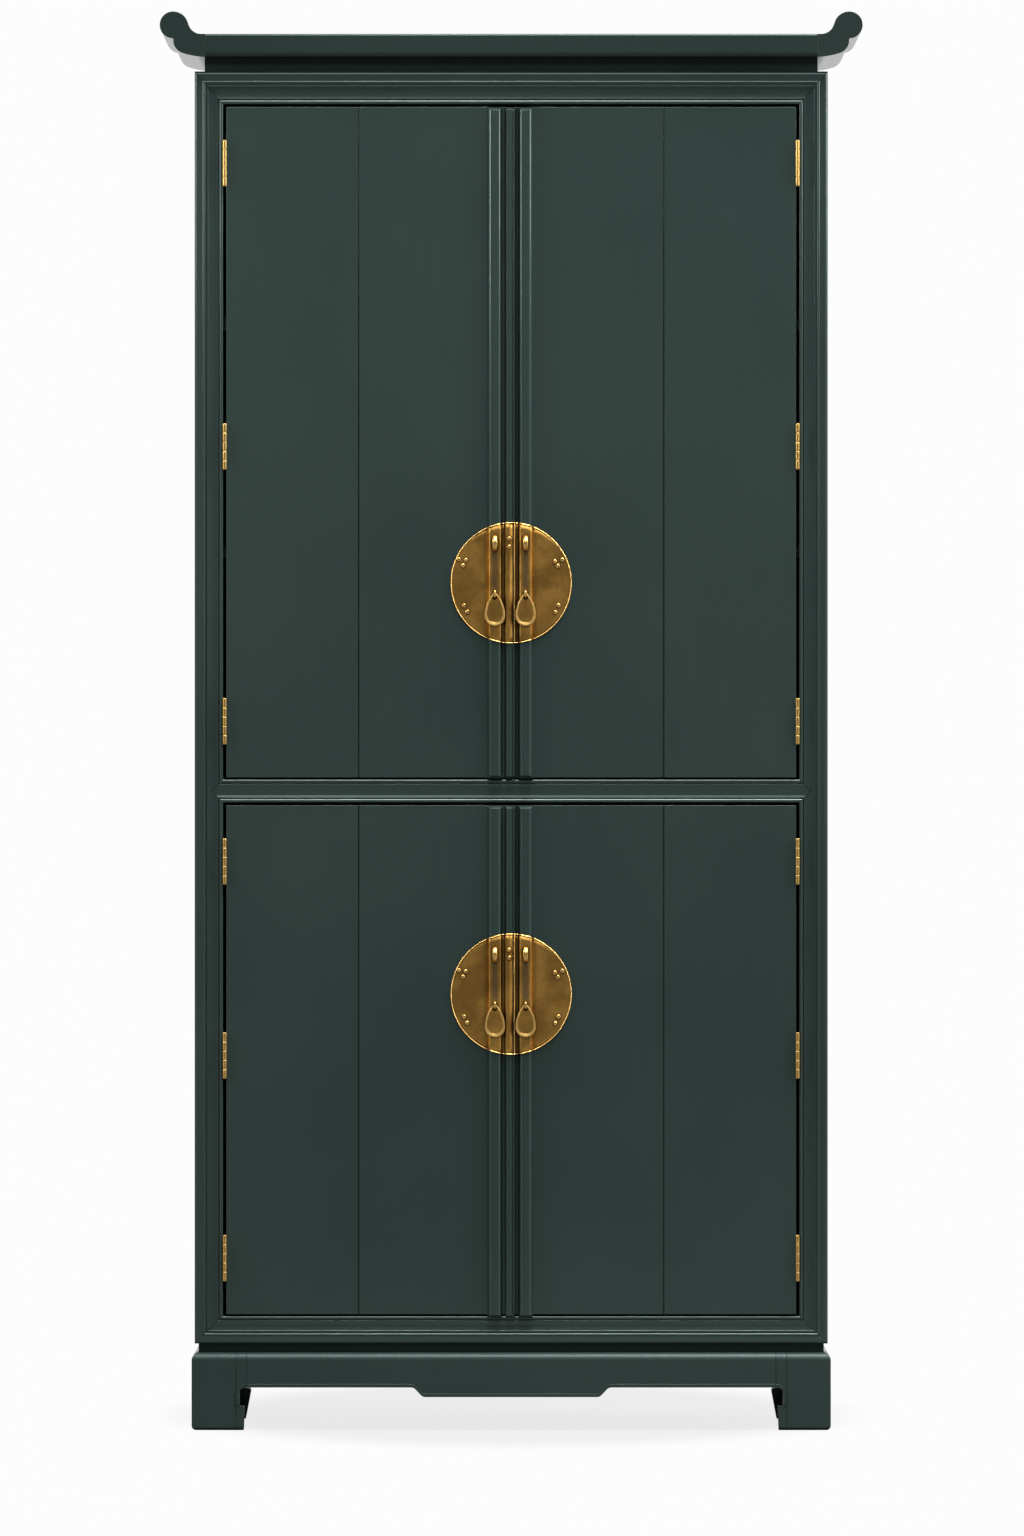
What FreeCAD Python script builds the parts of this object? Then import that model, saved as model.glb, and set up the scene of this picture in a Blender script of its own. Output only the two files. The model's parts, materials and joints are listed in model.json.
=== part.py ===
import FreeCAD, Part
import math
import os

# A tall four-door cupboard: a bracket base on hoof feet, a recessed waist, a case with a
# mitred and moulded face frame, four plank doors on butt hinges, and a cornice with scroll ends.
# Millimetres, +Z up, doors facing -Y, origin on the floor under the middle of the cornice.

# Heights, from the floor up
base_height = 117.5
waist_height = 13.5
case_height = 1929.0
neck_height = 21.0
cornice_thickness = 35.0

# Plan sizes
case_width = 960.0
cornice_depth = 560.0
frame_setback = 22.0        # frame front behind the cornice front
base_overhang = 4.5         # base beyond each side of the case
base_projection = 8.0       # base in front of the frame
waist_inset = 6.0           # waist behind the faces of the case
neck_inset = 15.0           # neck behind the faces of the case
strip_width = 20.0          # strips that make the waist and the neck

# Cornice
cornice_joint_inset = 16.0  # ends of the middle board, in from the sides of the case
cornice_nose = 7.0          # rounding under its front edge
cornice_arris = 3.0         # rounding of its top front edge
scroll_rise = 34.0          # scroll above the middle board
scroll_tip_radius = 20.4
scroll_shoulder_radius = 23.0
scroll_hollow_radius = 20.5
scroll_flat = 5.7           # from the joint to where the hollow starts
scroll_chin = 48.0          # from the joint to the steep end of the belly
scroll_belly_rise = 25.0    # height of that end above the underside

# Base
post_size = 67.0            # square leg posts
bracket_width = 16.3        # bracket between a post and an apron
apron_depth = 52.8          # height of the aprons
apron_thickness = 26.0
drop_depth = 14.5           # middle part of the front apron below the rest
drop_half_width = 134.0
drop_slope = 14.0           # sideways run of its sloping ends
drop_radius = 9.0
bead_width = 5.0            # raised bead along the aprons' lower edges
bead_proud = 1.2
bracket_radius = 10.5       # curve from an apron down into a leg
front_ledge_drop = 27.9     # top of the hoof's toe below the aprons, front feet
front_toe = 7.8             # toe beyond the bead strip of the leg
front_toe_taper = 1.2       # its drawing in towards the floor
rear_ledge_drop = 17.2      # the same for the rear feet
rear_toe = 11.8
rear_toe_taper = 9.0
toe_radius = 5.0            # upper corner of a rear toe
shoulder_radius = 12.0
foot_bevel = 4.0            # along the floor at the front and rear of each foot
foot_radius = 7.0           # outer lower corner of each foot
foot_arris = 2.5            # bevel up the outer corner

# Case boards
board = 20.0
panel = 18.0
back_thickness = 6.0
rebate_width = 10.0         # rebate for the back in each side
rebate_depth = 8.0

# Face frame: face widths, and the section of its moulding from the outer edge inwards
frame_thickness = 24.0
stile_face = 43.0
top_rail_face = 49.5
bottom_rail_face = 41.5
middle_rail_face = 35.0
lower_opening_height = 779.0
band_width = 12.0
band_arris = 4.5
small_bead = 4.0
groove_width = 2.0
fillet_width = 2.5
quirk_width = 1.4
inner_bead = 5.6
# Depths of the same parts behind the crown of the outer band
band_side_depth = 4.0
band_inner_depth = 1.6
small_bead_crown = 0.8
small_bead_foot = 2.0
groove_depth = 4.2
fillet_depth = 3.4
cove_top_depth = 6.8
cove_bottom_depth = 8.3
cove_end_depth = 7.0
quirk_depth = 9.2
inner_bead_crown = 6.0
inner_bead_foot = 7.8
# Sunk field of the middle rail, between its two beads
field_depth = 8.3
field_slope = 4.0           # run of its sloping sides

# Doors
door_thickness = 20.0
door_proud = 0.5            # door face in front of the frame's inner bead
side_gap = 5.0
bottom_gap = 3.0
top_gap = 4.5
meeting_gap = 1.2
meeting_offset = 2.6        # middle of the gap between two doors, to the right of centre
meeting_bevel = 1.0         # relief of the meeting edges towards the back
seam_position = 230.8       # joint between a door's two boards, from the centre
seam_width = 1.0
seam_depth = 3.0
tongue_thickness = 6.0
tongue_length = 8.0
tongue_clearance = 0.2

# Mouldings on the doors
left_reed = 24.7            # middle of each door's reed, from the centre
right_reed = 21.9
reed_width = 23.0
reed_crown = 15.0
reed_height = 10.0
reed_radius = 6.0
reed_bevel = 5.0            # slope of the ends
upper_reed_overhang = 2.0   # reed below the lower edge of the door
lower_reed_overhang = 6.0
left_bead_width = 10.6
right_bead_width = 2.9
edge_bead_height = 8.0
edge_bead_slope = 1.2

# Hinges
hinge_height = 70.0
hinge_end = 85.0            # from the end of a door to the middle of its end hinges
hinge_shift = 6.5           # middle hinges, towards the middle rail
knuckle_count = 5
knuckle_radius = 3.25
knuckle_gap = 0.3
knuckle_clearance = 0.4
pin_radius = 1.5
pin_clearance = 0.05
leaf_thickness = 1.6
leaf_margin = 1.5           # leaf edge in from the back of the frame
hinge_lead = 3.6            # hinge axis in front of the door face

# Lock plates, loops, staples and pulls
plate_radius = 92.0
plate_thickness = 1.5
plate_clearance = 0.2
plate_dip = 4.0             # level at which a plate bridges the groove beside the reed
upper_plate_height = 295.0  # plate centre above the lower edge of the upper doors
lower_plate_drop = 286.0    # plate centre below the top edge of the lower doors
loop_height = 60.0          # lock loops above the plate centre
loop_radius = 11.8
loop_hole_radius = 4.0
loop_width = 8.0
loop_lead = 3.8             # middle of the loop's hole in front of the plate
pull_drop = 17.5            # pivot of the pulls below the plate centre
pull_height = 50.0
pull_width = 31.0
pull_top_radius = 5.6
pull_side_radius = 55.0
pull_thickness = 3.2
pull_slot_width = 7.0       # slot that the staple passes through
pull_slot_height = 8.0
pull_clearance = 0.4
staple_bar = 3.2            # square bar that the staple is bent from
staple_inside = 5.2         # between its legs
staple_reach = 4.0          # from the pull's axis to the inside of the staple's front
staple_corner = 2.5         # its bevelled outer corners
staple_clearance = 0.3

# Catches and shelves
catch_offset = 45.0
catch_width = 40.0
catch_depth = 12.0
catch_drop = 20.0
catch_grip = 20.0           # catch on the back of the top rail
catch_gap = 0.5
strike_width = 36.0
strike_height = 14.0
strike_thickness = 1.0
strike_margin = 4.0
shelf_setback = 29.0
shelf_back_gap = 2.0
shelf_side_gap = 1.0
upper_shelf_heights = (345.0, 690.0)
lower_shelf_heights = (385.0,)
batten = 20.0               # square strips that carry the shelves

# Levels and planes that follow from those sizes
case_bottom = base_height + waist_height
case_top = case_bottom + case_height
cornice_bottom = case_top + neck_height
cornice_top = cornice_bottom + cornice_thickness
frame_front = frame_setback - cornice_depth / 2
frame_back = frame_front + frame_thickness
case_back = cornice_depth / 2
case_half = case_width / 2
inside_half = case_half - board
cornice_joint = case_half - cornice_joint_inset
back_panel_front = case_back - rebate_depth
opening_half = case_half - stile_face
opening_bottom = case_bottom + bottom_rail_face
opening_top = case_top - top_rail_face
middle_low = opening_bottom + lower_opening_height
middle_high = middle_low + middle_rail_face
middle_level = (middle_low + middle_high) / 2
partition_low = middle_level - panel / 2
base_half = case_half + base_overhang
base_front = frame_front - base_projection
apron_bottom = base_height - apron_depth
bracket_end = base_half - post_size - bracket_width
door_face = frame_front + inner_bead_crown - door_proud
door_back = door_face + door_thickness
door_half = opening_half - side_gap
hinge_x = opening_half - side_gap / 2
hinge_y = door_face - hinge_lead
reed_slope = (reed_width - reed_crown) / 2
plate_front = plate_clearance + plate_thickness
catch_front = door_back + strike_thickness + catch_gap
shelf_front = frame_back + shelf_setback
shelf_back = back_panel_front - shelf_back_gap
far = 4000.0
bar_sides = 8               # flats of the smallest round forms, which repeat many times
pin_sides = 6               # flats of the hinge pins, hidden in their knuckles
flat_share = math.cos(math.pi / pin_sides)

planes = {
    "XY": lambda u, v, w: FreeCAD.Vector(u, v, w),
    "XZ": lambda u, v, w: FreeCAD.Vector(u, w, v),
    "YZ": lambda u, v, w: FreeCAD.Vector(w, u, v),
}


def is_point(step):
    return not isinstance(step[0], tuple)


def moved(steps, rule):
    """The same outline with each of its points put through a rule."""
    return [rule(*s) if is_point(s) else tuple(rule(*p) for p in s) for s in steps]


def prism(plane, low, high, steps):
    """Solid over a closed outline; a step is a point, or an arc as (point on it, end point)."""
    place = planes[plane]
    here = steps[0]
    edges = []
    for step in steps[1:] + [steps[0]]:
        end = step if is_point(step) else step[1]
        if not is_point(step):
            edges.append(Part.Arc(place(*here, low), place(*step[0], low), place(*end, low)).toShape())
        elif math.dist(here, end) > 1e-6:
            edges.append(Part.makeLine(place(*here, low), place(*end, low)))
        here = end
    return Part.Face(Part.Wire(edges)).extrude(place(0, 0, high) - place(0, 0, low))


def rounded(*corners):
    """Outline steps through corners (u, v, radius), each corner rounded to its radius."""
    steps = []
    for index, (u, v, radius) in enumerate(corners):
        if radius == 0:
            steps.append((u, v))
            continue
        here = FreeCAD.Vector(u, v, 0)
        before = (FreeCAD.Vector(*corners[index - 1][:2], 0) - here).normalize()
        after = (FreeCAD.Vector(*corners[(index + 1) % len(corners)][:2], 0) - here).normalize()
        half_angle = before.getAngle(after) / 2
        reach = radius / math.tan(half_angle)
        towards = (before + after).normalize()
        crown = here + towards * (radius / math.sin(half_angle) - radius)
        start = here + before * reach
        end = here + after * reach
        steps.append((start.x, start.y))
        steps.append(((crown.x, crown.y), (end.x, end.y)))
    return steps


def box(x_low, x_high, y_low, y_high, z_low, z_high):
    corner = FreeCAD.Vector(x_low, y_low, z_low)
    return Part.makeBox(x_high - x_low, y_high - y_low, z_high - z_low, corner)


def cylinder(radius, start, end):
    """Round bar between two points."""
    start = FreeCAD.Vector(*start)
    along = FreeCAD.Vector(*end) - start
    return Part.makeCylinder(radius, along.Length, start, along)


def small_bar(plane, low, high, middle, radius, sides=bar_sides):
    """Thin round bar or hole, as a prism with a few flats."""
    turns = [math.tau * (index + 0.5) / sides for index in range(sides)]
    return prism(plane, low, high, [
        (middle[0] + radius * math.cos(turn), middle[1] + radius * math.sin(turn)) for turn in turns])


def mirrored(shape):
    """The right-hand twin of a left-hand shape."""
    return shape.mirror(FreeCAD.Vector(0, 0, 0), FreeCAD.Vector(1, 0, 0))


def save(node, *solids):
    """Write one node, as one solid or as a group of separate ones."""
    shape = solids[0] if len(solids) == 1 else Part.makeCompound(list(solids))
    shape.exportStep("parts/" + node + ".step")
    print(node, len(shape.Solids), shape.isValid(), round(shape.Volume / 1000, 1))


# The base: posts, brackets and aprons


def front_section(x_low, x_high, depth):
    """Block behind the base's front face, with its rounded shoulder and bevelled foot."""
    return prism("YZ", x_low, x_high, rounded(
        (base_front, foot_bevel, 0),
        (base_front + foot_bevel, 0, 0),
        (base_front + depth, 0, 0),
        (base_front + depth, base_height, 0),
        (base_front, base_height, shoulder_radius)))


def front_left_post():
    inner = base_half - post_size
    front_view = prism("XZ", base_front, base_front + post_size, rounded(
        (-base_half, 0, foot_radius),
        (-inner, 0, 0),
        (-inner, base_height, 0),
        (-base_half, base_height, shoulder_radius)))
    plan = prism("XY", 0, base_height, [
        (-base_half, base_front + foot_arris),
        (foot_arris - base_half, base_front),
        (-inner, base_front),
        (-inner, base_front + post_size),
        (-base_half, base_front + post_size)])
    return front_view.common(front_section(-base_half, -inner, post_size)).common(plan)


def front_left_bracket(toe, toe_taper, ledge_drop, corner, with_bead):
    """Bracket and hoof toe beside the front left post, with the bead that follows its curve."""
    post_side = base_half - post_size
    strip_side = post_side - bead_width
    toe_end = strip_side - toe
    ledge = apron_bottom - ledge_drop
    profile = rounded(
        (-post_side, 0, 0),
        (-post_side, base_height, 0),
        (-bracket_end, base_height, 0),
        (-bracket_end, apron_bottom, 0),
        (-strip_side, apron_bottom, bracket_radius),
        (-strip_side, ledge, 0),
        (-toe_end, ledge, corner),
        (-toe_end - toe_taper, 0, 0))
    shape = prism("XZ", base_front, base_front + post_size, profile)
    shape = shape.common(front_section(-post_side, -toe_end + bead_width, post_size))
    if not with_bead:
        return shape
    bead = prism("XZ", base_front - bead_proud, base_front + bead_proud, rounded(
        (-post_side, ledge, 0),
        (-post_side, apron_bottom + bead_width, bracket_radius + bead_width),
        (-bracket_end, apron_bottom + bead_width, 0),
        (-bracket_end, apron_bottom, 0),
        (-strip_side, apron_bottom, bracket_radius),
        (-strip_side, ledge, 0)))
    return shape.fuse(bead).removeSplitter()


def apron(x_low, x_high, drop_half, with_bead):
    """Apron along the front face; its middle drops lower where drop_half is given."""
    lower = [(x_low, apron_bottom, 0)]
    if drop_half:
        lower.append((-drop_half - drop_slope, apron_bottom, drop_radius))
        lower.append((-drop_half, apron_bottom - drop_depth, drop_radius))
        lower.append((drop_half, apron_bottom - drop_depth, drop_radius))
        lower.append((drop_half + drop_slope, apron_bottom, drop_radius))
    lower.append((x_high, apron_bottom, 0))
    upper = [(x_high, base_height, 0), (x_low, base_height, 0)]
    shape = prism("XZ", base_front, base_front + apron_thickness, rounded(*lower, *upper))
    shape = shape.common(front_section(x_low, x_high, apron_thickness))
    if not with_bead:
        return shape
    over = [(x, z + bead_width, radius) for x, z, radius in reversed(lower)]
    bead = prism("XZ", base_front - bead_proud, base_front + bead_proud, rounded(*lower, *over))
    return shape.fuse(bead).removeSplitter()


def turned_to_side(shape):
    """A piece of the front face put on the left side, by swapping x and y at the corner."""
    return shape.mirror(FreeCAD.Vector(-base_half, base_front, 0), FreeCAD.Vector(1, -1, 0))


def turned_to_rear(shape):
    """A piece of the front put at the rear of the base."""
    return shape.mirror(FreeCAD.Vector(0, (base_front + case_back) / 2, 0), FreeCAD.Vector(0, 1, 0))


def base():
    post = front_left_post()
    save("front_left_foot", post)
    save("front_right_foot", mirrored(post))
    save("rear_left_foot", turned_to_rear(post))
    save("rear_right_foot", turned_to_rear(mirrored(post)))
    front = front_left_bracket(front_toe, front_toe_taper, front_ledge_drop, 0, True)
    side = turned_to_side(front)
    rear = front_left_bracket(rear_toe, rear_toe_taper, rear_ledge_drop, toe_radius, False)
    left_brackets = [front, side, turned_to_rear(side), turned_to_rear(rear)]
    save("foot_brackets", *left_brackets, *[mirrored(b) for b in left_brackets])
    save("front_apron", apron(-bracket_end, bracket_end, drop_half_width, True))
    side_start = -bracket_end
    side_end = case_back - base_front - base_half - post_size - bracket_width
    left_apron = turned_to_side(apron(side_start, side_end, 0, True))
    save("side_aprons", left_apron, mirrored(left_apron))
    save("rear_apron", turned_to_rear(apron(-bracket_end, bracket_end, 0, False)))


def ring_of_strips(half_width, front, back, low, high):
    """Four butted strips round a rectangle."""
    inner_half = half_width - strip_width
    inner_front = front + strip_width
    inner_back = back - strip_width
    return [
        box(-half_width, half_width, front, inner_front, low, high),
        box(-half_width, half_width, inner_back, back, low, high),
        box(-half_width, -inner_half, inner_front, inner_back, low, high),
        box(inner_half, half_width, inner_front, inner_back, low, high),
    ]


def inset_ring(inset, low, high):
    return ring_of_strips(case_half - inset, frame_front + inset, case_back - inset, low, high)


# The case


def left_side_panel():
    shape = box(-case_half, -inside_half, frame_back, case_back, case_bottom, case_top)
    rebate_x = -inside_half - rebate_width
    return shape.cut(box(rebate_x, -inside_half, back_panel_front, case_back, case_bottom, case_top))


def case():
    side = left_side_panel()
    save("left_side_panel", side)
    save("right_side_panel", mirrored(side))
    levels = {
        "bottom_panel": opening_bottom - panel,
        "middle_partition": partition_low,
        "top_panel": case_top - panel,
    }
    for node, low in levels.items():
        save(node, box(-inside_half, inside_half, frame_back, back_panel_front, low, low + panel))
    back_half = inside_half + rebate_width
    back_face = back_panel_front + back_thickness
    save("back_panel", box(-back_half, back_half, back_panel_front, back_face, case_bottom, case_top))
    shelf_half = inside_half - shelf_side_gap
    shelves = []
    battens = []
    undersides = [partition_low + panel + h for h in upper_shelf_heights]
    undersides += [opening_bottom + h for h in lower_shelf_heights]
    for low in undersides:
        shelves.append(box(-shelf_half, shelf_half, shelf_front, shelf_back, low, low + panel))
        strip = box(-inside_half, batten - inside_half, shelf_front, shelf_back, low - batten, low)
        battens += [strip, mirrored(strip)]
    save("shelves", *shelves)
    save("shelf_battens", *battens)


# The face frame: one moulding section, stretched to each face width so that the mitres meet


def frame_moulding(face):
    """Section steps as (distance in from the outer edge, depth behind the crown)."""
    bead_end = band_width + small_bead
    groove_end = bead_end + groove_width
    fillet_end = groove_end + fillet_width
    cove_end = stile_face - inner_bead - quirk_width
    bead_start = stile_face - inner_bead
    steps = [
        (0, frame_thickness),
        (0, band_side_depth),
        ((band_arris * 0.3, band_side_depth * 0.3), (band_arris, 0)),
        (band_width, band_inner_depth),
        (band_width, small_bead_foot),
        (((band_width + bead_end) / 2, small_bead_crown), (bead_end, small_bead_foot)),
        (bead_end, groove_depth),
        (groove_end, groove_depth),
        (groove_end, fillet_depth),
        (fillet_end, fillet_depth),
        (fillet_end, cove_top_depth),
        (((fillet_end + cove_end) / 2, cove_bottom_depth), (cove_end, cove_end_depth)),
        (cove_end, quirk_depth),
        (bead_start, quirk_depth),
        (bead_start, inner_bead_foot),
        (((bead_start + stile_face) / 2, inner_bead_crown), (stile_face, inner_bead_foot)),
        (stile_face, frame_thickness),
    ]
    stretch = face / stile_face
    return moved(steps, lambda across, depth: (across * stretch, depth))


def middle_moulding():
    """Section of the middle rail as (height up the rail, depth): a sunk field between two beads."""
    top = middle_rail_face
    field = inner_bead + quirk_width
    slope = field + field_slope
    lower = [
        (0, frame_thickness),
        (0, inner_bead_foot),
        ((inner_bead / 2, inner_bead_crown), (inner_bead, inner_bead_foot)),
        (inner_bead, quirk_depth),
        (field, quirk_depth),
        (field, cove_end_depth),
        (slope, field_depth),
    ]
    upper = [
        (top - slope, field_depth),
        (top - field, cove_end_depth),
        (top - field, quirk_depth),
        (top - inner_bead, quirk_depth),
        (top - inner_bead, inner_bead_foot),
        ((top - inner_bead / 2, inner_bead_crown), (top, inner_bead_foot)),
        (top, frame_thickness),
    ]
    return lower + upper


def upright(face, outer):
    """Moulding run up the case, its outer edge at x = outer on the left."""
    section = moved(frame_moulding(face), lambda s, d: (outer + s, frame_front + d))
    return prism("XY", 0, far, section)


def crosspiece(moulding, edge, inwards):
    """Moulding run across the case, its outer edge at z = edge and its face going inwards."""
    section = moved(moulding, lambda s, d: (frame_front + d, edge + inwards * s))
    return prism("YZ", -case_half, case_half, section)


def mask(*points):
    """Block in front view that keeps a piece of the frame between its mitres."""
    return prism("XZ", frame_front - 1, frame_back + 1, list(points))


def face_frame():
    point = middle_rail_face / 2
    rail_mask = mask(
        (-opening_half, middle_low), (-opening_half - point, middle_level), (-opening_half, middle_high),
        (opening_half, middle_high), (opening_half + point, middle_level), (opening_half, middle_low))
    stile_mask = mask(
        (-case_half, case_bottom), (-case_half, case_top),
        (-opening_half, opening_top), (-opening_half, opening_bottom))
    stile = upright(stile_face, -case_half).common(stile_mask).cut(rail_mask)
    save("left_stile", stile)
    save("right_stile", mirrored(stile))
    top_mask = mask(
        (-case_half, case_top), (case_half, case_top),
        (opening_half, opening_top), (-opening_half, opening_top))
    save("top_rail", crosspiece(frame_moulding(top_rail_face), case_top, -1).common(top_mask))
    bottom_mask = mask(
        (-case_half, case_bottom), (case_half, case_bottom),
        (opening_half, opening_bottom), (-opening_half, opening_bottom))
    save("bottom_rail", crosspiece(frame_moulding(bottom_rail_face), case_bottom, 1).common(bottom_mask))
    save("middle_rail", crosspiece(middle_moulding(), middle_low, 1).common(rail_mask))


# The cornice


def left_scroll():
    tip_level = cornice_top + scroll_rise - scroll_tip_radius
    shoulder_level = cornice_top + scroll_rise - scroll_shoulder_radius
    hollow_level = cornice_top + scroll_hollow_radius
    rise = shoulder_level - hollow_level
    reach = math.sqrt((scroll_shoulder_radius + scroll_hollow_radius) ** 2 - rise ** 2)
    hollow_x = cornice_joint + scroll_flat
    tip_x = hollow_x + reach
    share = scroll_hollow_radius / (scroll_shoulder_radius + scroll_hollow_radius)
    meet_x = hollow_x + reach * share
    meet_level = hollow_level + rise * share
    half_turn = math.radians(45)
    hollow_middle = (hollow_x + scroll_hollow_radius * math.sin(half_turn),
                     hollow_level - scroll_hollow_radius * math.cos(half_turn))
    shoulder = (tip_x - scroll_shoulder_radius * math.sin(half_turn),
                shoulder_level + scroll_shoulder_radius * math.cos(half_turn))
    chin = cornice_joint + scroll_chin
    belly = (chin - scroll_belly_rise * 0.6, cornice_bottom + scroll_belly_rise * 0.23)
    steps = [
        (cornice_joint, cornice_top),
        (cornice_joint, cornice_bottom),
        (((cornice_joint + belly[0]) / 2, cornice_bottom + scroll_belly_rise * 0.07), belly),
        ((chin - scroll_belly_rise * 0.18, cornice_bottom + scroll_belly_rise * 0.5),
         (chin, cornice_bottom + scroll_belly_rise)),
        (tip_x, tip_level - scroll_tip_radius),
        ((tip_x + scroll_tip_radius, tip_level), (tip_x, tip_level + scroll_tip_radius)),
        (shoulder, (meet_x, meet_level)),
        (hollow_middle, (hollow_x, cornice_top)),
    ]
    outline = moved(steps, lambda x, z: (-x, z))
    return prism("XZ", -cornice_depth / 2, cornice_depth / 2, outline)


def cornice():
    front = -cornice_depth / 2
    board_shape = prism("YZ", -cornice_joint, cornice_joint, rounded(
        (front, cornice_bottom, cornice_nose),
        (case_back, cornice_bottom, 0),
        (case_back, cornice_top, 0),
        (front, cornice_top, cornice_arris)))
    save("cornice_board", board_shape)
    scroll = left_scroll()
    save("left_cornice_scroll", scroll)
    save("right_cornice_scroll", mirrored(scroll))


# Doors: outlines are given as (distance from the centre, height in front of the door face)


def across_door(side, low, high, steps):
    section = moved(steps, lambda distance, height: (side * distance, door_face - height))
    return prism("XY", low, high, section)


def boards(side, edge, low, high):
    """Outer and inner board, joined by a tongue in a groove behind the open seam."""
    middle = -door_thickness / 2
    half = tongue_thickness / 2
    slack = half + tongue_clearance
    tongue_end = seam_position - tongue_length
    groove_end = tongue_end - tongue_clearance
    seam_side = seam_position + seam_width
    outer = across_door(side, low, high, [
        (door_half, 0), (seam_side, 0), (seam_side, -seam_depth), (seam_position, -seam_depth),
        (seam_position, middle + half), (tongue_end, middle + half),
        (tongue_end, middle - half), (seam_position, middle - half),
        (seam_position, -door_thickness), (door_half, -door_thickness)])
    inner = across_door(side, low, high, [
        (seam_position, 0), (seam_position, middle + slack), (groove_end, middle + slack),
        (groove_end, middle - slack), (seam_position, middle - slack),
        (seam_position, -door_thickness), (edge + meeting_bevel, -door_thickness), (edge, 0)])
    return outer, inner


def mouldings(side, edge, bead, middle, low, high):
    """Reed with sloping ends, and the bead along the meeting edge."""
    reed = across_door(side, low, high, rounded(
        (middle + reed_width / 2, 0, 0),
        (middle + reed_crown / 2, reed_height, reed_radius),
        (middle - reed_crown / 2, reed_height, reed_radius),
        (middle - reed_width / 2, 0, 0)))
    edge_bead = across_door(side, low, high, [
        (edge + bead, 0),
        (edge + bead - edge_bead_slope, edge_bead_height),
        (edge, edge_bead_height),
        (edge, 0)])
    front = door_face - reed_height
    ends = prism("YZ", -far, far, [
        (door_face, low), (door_face, high), (front, high - reed_bevel), (front, low + reed_bevel)])
    return reed.common(ends), edge_bead.common(ends)


def offset_path(path, distance):
    """Open path moved to its right, with its corners kept sharp."""
    result = []
    for index, (u, v, radius) in enumerate(path):
        normals = []
        for start, end in ((index - 1, index), (index, index + 1)):
            if start < 0 or end == len(path):
                continue
            run = FreeCAD.Vector(path[end][0] - path[start][0], path[end][1] - path[start][1], 0).normalize()
            normals.append(FreeCAD.Vector(run.y, -run.x, 0))
        mean = (normals[0] + normals[-1]).normalize()
        shift = mean * (distance / mean.dot(normals[0]))
        turn = normals[0].cross(normals[-1]).z
        bend = radius + distance * math.copysign(1, turn) if radius else 0
        result.append((u + shift.x, v + shift.y, bend))
    return result


def lock_plate(side, edge, bead, middle, centre):
    """Half disc of sheet brass formed over the panel, the reed and the edge bead."""
    dip_share = plate_dip / reed_height
    bead_share = plate_dip / edge_bead_height
    path = [
        (plate_radius + plate_thickness, 0, 0),
        (middle + reed_width / 2, 0, 0),
        (middle + reed_crown / 2, reed_height, 0),
        (middle - reed_crown / 2, reed_height, 0),
        (middle - reed_width / 2 + reed_slope * dip_share, plate_dip, 0),
        (edge + bead - edge_bead_slope * bead_share, plate_dip, 0),
        (edge + bead - edge_bead_slope, edge_bead_height, 0),
        (edge, edge_bead_height, 0),
    ]
    near = offset_path(path, plate_clearance)
    front = offset_path(path, plate_front)
    sheet = across_door(side, centre - plate_radius, centre + plate_radius, rounded(*near, *reversed(front)))
    disc = cylinder(plate_radius, (0, door_back, centre), (0, -cornice_depth / 2, centre))
    return sheet.common(disc)


def lock_loop(x, level):
    """Lug standing out of the plate, with a hole for the bar of a padlock."""
    face = door_face - reed_height - plate_front
    middle = face - loop_lead
    half = math.sqrt(loop_radius ** 2 - loop_lead ** 2)
    lug = prism("YZ", x - loop_width / 2, x + loop_width / 2, [
        (face, level - half), ((middle - loop_radius, level), (face, level + half))])
    return lug.cut(small_bar("YZ", x - loop_width, x + loop_width, (middle, level), loop_hole_radius))


def teardrop(x, pivot):
    """Outline of a pull: a small arc over a large one, joined by slack arcs."""
    radii = (pull_top_radius, pull_width / 2)
    top = pivot + pull_thickness / 2
    levels = (top - radii[0], top - pull_height + radii[1])
    span = levels[0] - levels[1]
    to_top, to_bottom = (pull_side_radius - radius for radius in radii)
    below = (to_top ** 2 - to_bottom ** 2 + span ** 2) / (2 * span)
    aside = math.sqrt(to_top ** 2 - below ** 2)
    side_level = levels[0] - below
    high = math.atan2(below, aside)
    low = math.atan2(levels[1] - side_level, aside)

    def on_side(turn, hand):
        across = pull_side_radius * math.cos(turn) - aside
        return (x + hand * across, side_level + pull_side_radius * math.sin(turn))

    middle = (high + low) / 2
    return [
        on_side(high, -1),
        ((x, top), on_side(high, 1)),
        (on_side(middle, 1), on_side(low, 1)),
        ((x, top - pull_height), on_side(low, -1)),
        (on_side(middle, -1), on_side(high, -1)),
    ]


def pull(x, pivot):
    """Teardrop pull with a slot for the staple, under a round bar across its top."""
    back = door_face - reed_height - plate_front - pull_clearance
    axis = back - pull_thickness / 2
    front = back - pull_thickness
    half = pull_slot_width / 2
    shape = prism("XZ", front, back, teardrop(x, pivot))
    slot = box(x - half, x + half, front, back, pivot - pull_slot_height, pivot + pull_thickness)
    bar = small_bar("YZ", x - half, x + half, (axis, pivot), pull_thickness / 2)
    return shape.cut(slot).fuse(bar)


def pull_staple(x, pivot):
    """Bent bar that the pull hangs on: two legs into the plate and a front with bevelled corners."""
    face = door_face - reed_height - plate_front
    inside = face - pull_clearance - pull_thickness / 2 - staple_reach
    front = inside - staple_bar
    inside_low = pivot - pull_thickness / 2 - staple_clearance
    inside_high = inside_low + staple_inside
    low = inside_low - staple_bar
    high = inside_high + staple_bar
    return prism("YZ", x - staple_bar / 2, x + staple_bar / 2, [
        (face, low), (front + staple_corner, low), (front, low + staple_corner),
        (front, high - staple_corner), (front + staple_corner, high), (face, high),
        (face, inside_high), (inside, inside_high), (inside, inside_low), (face, inside_low)])


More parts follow.
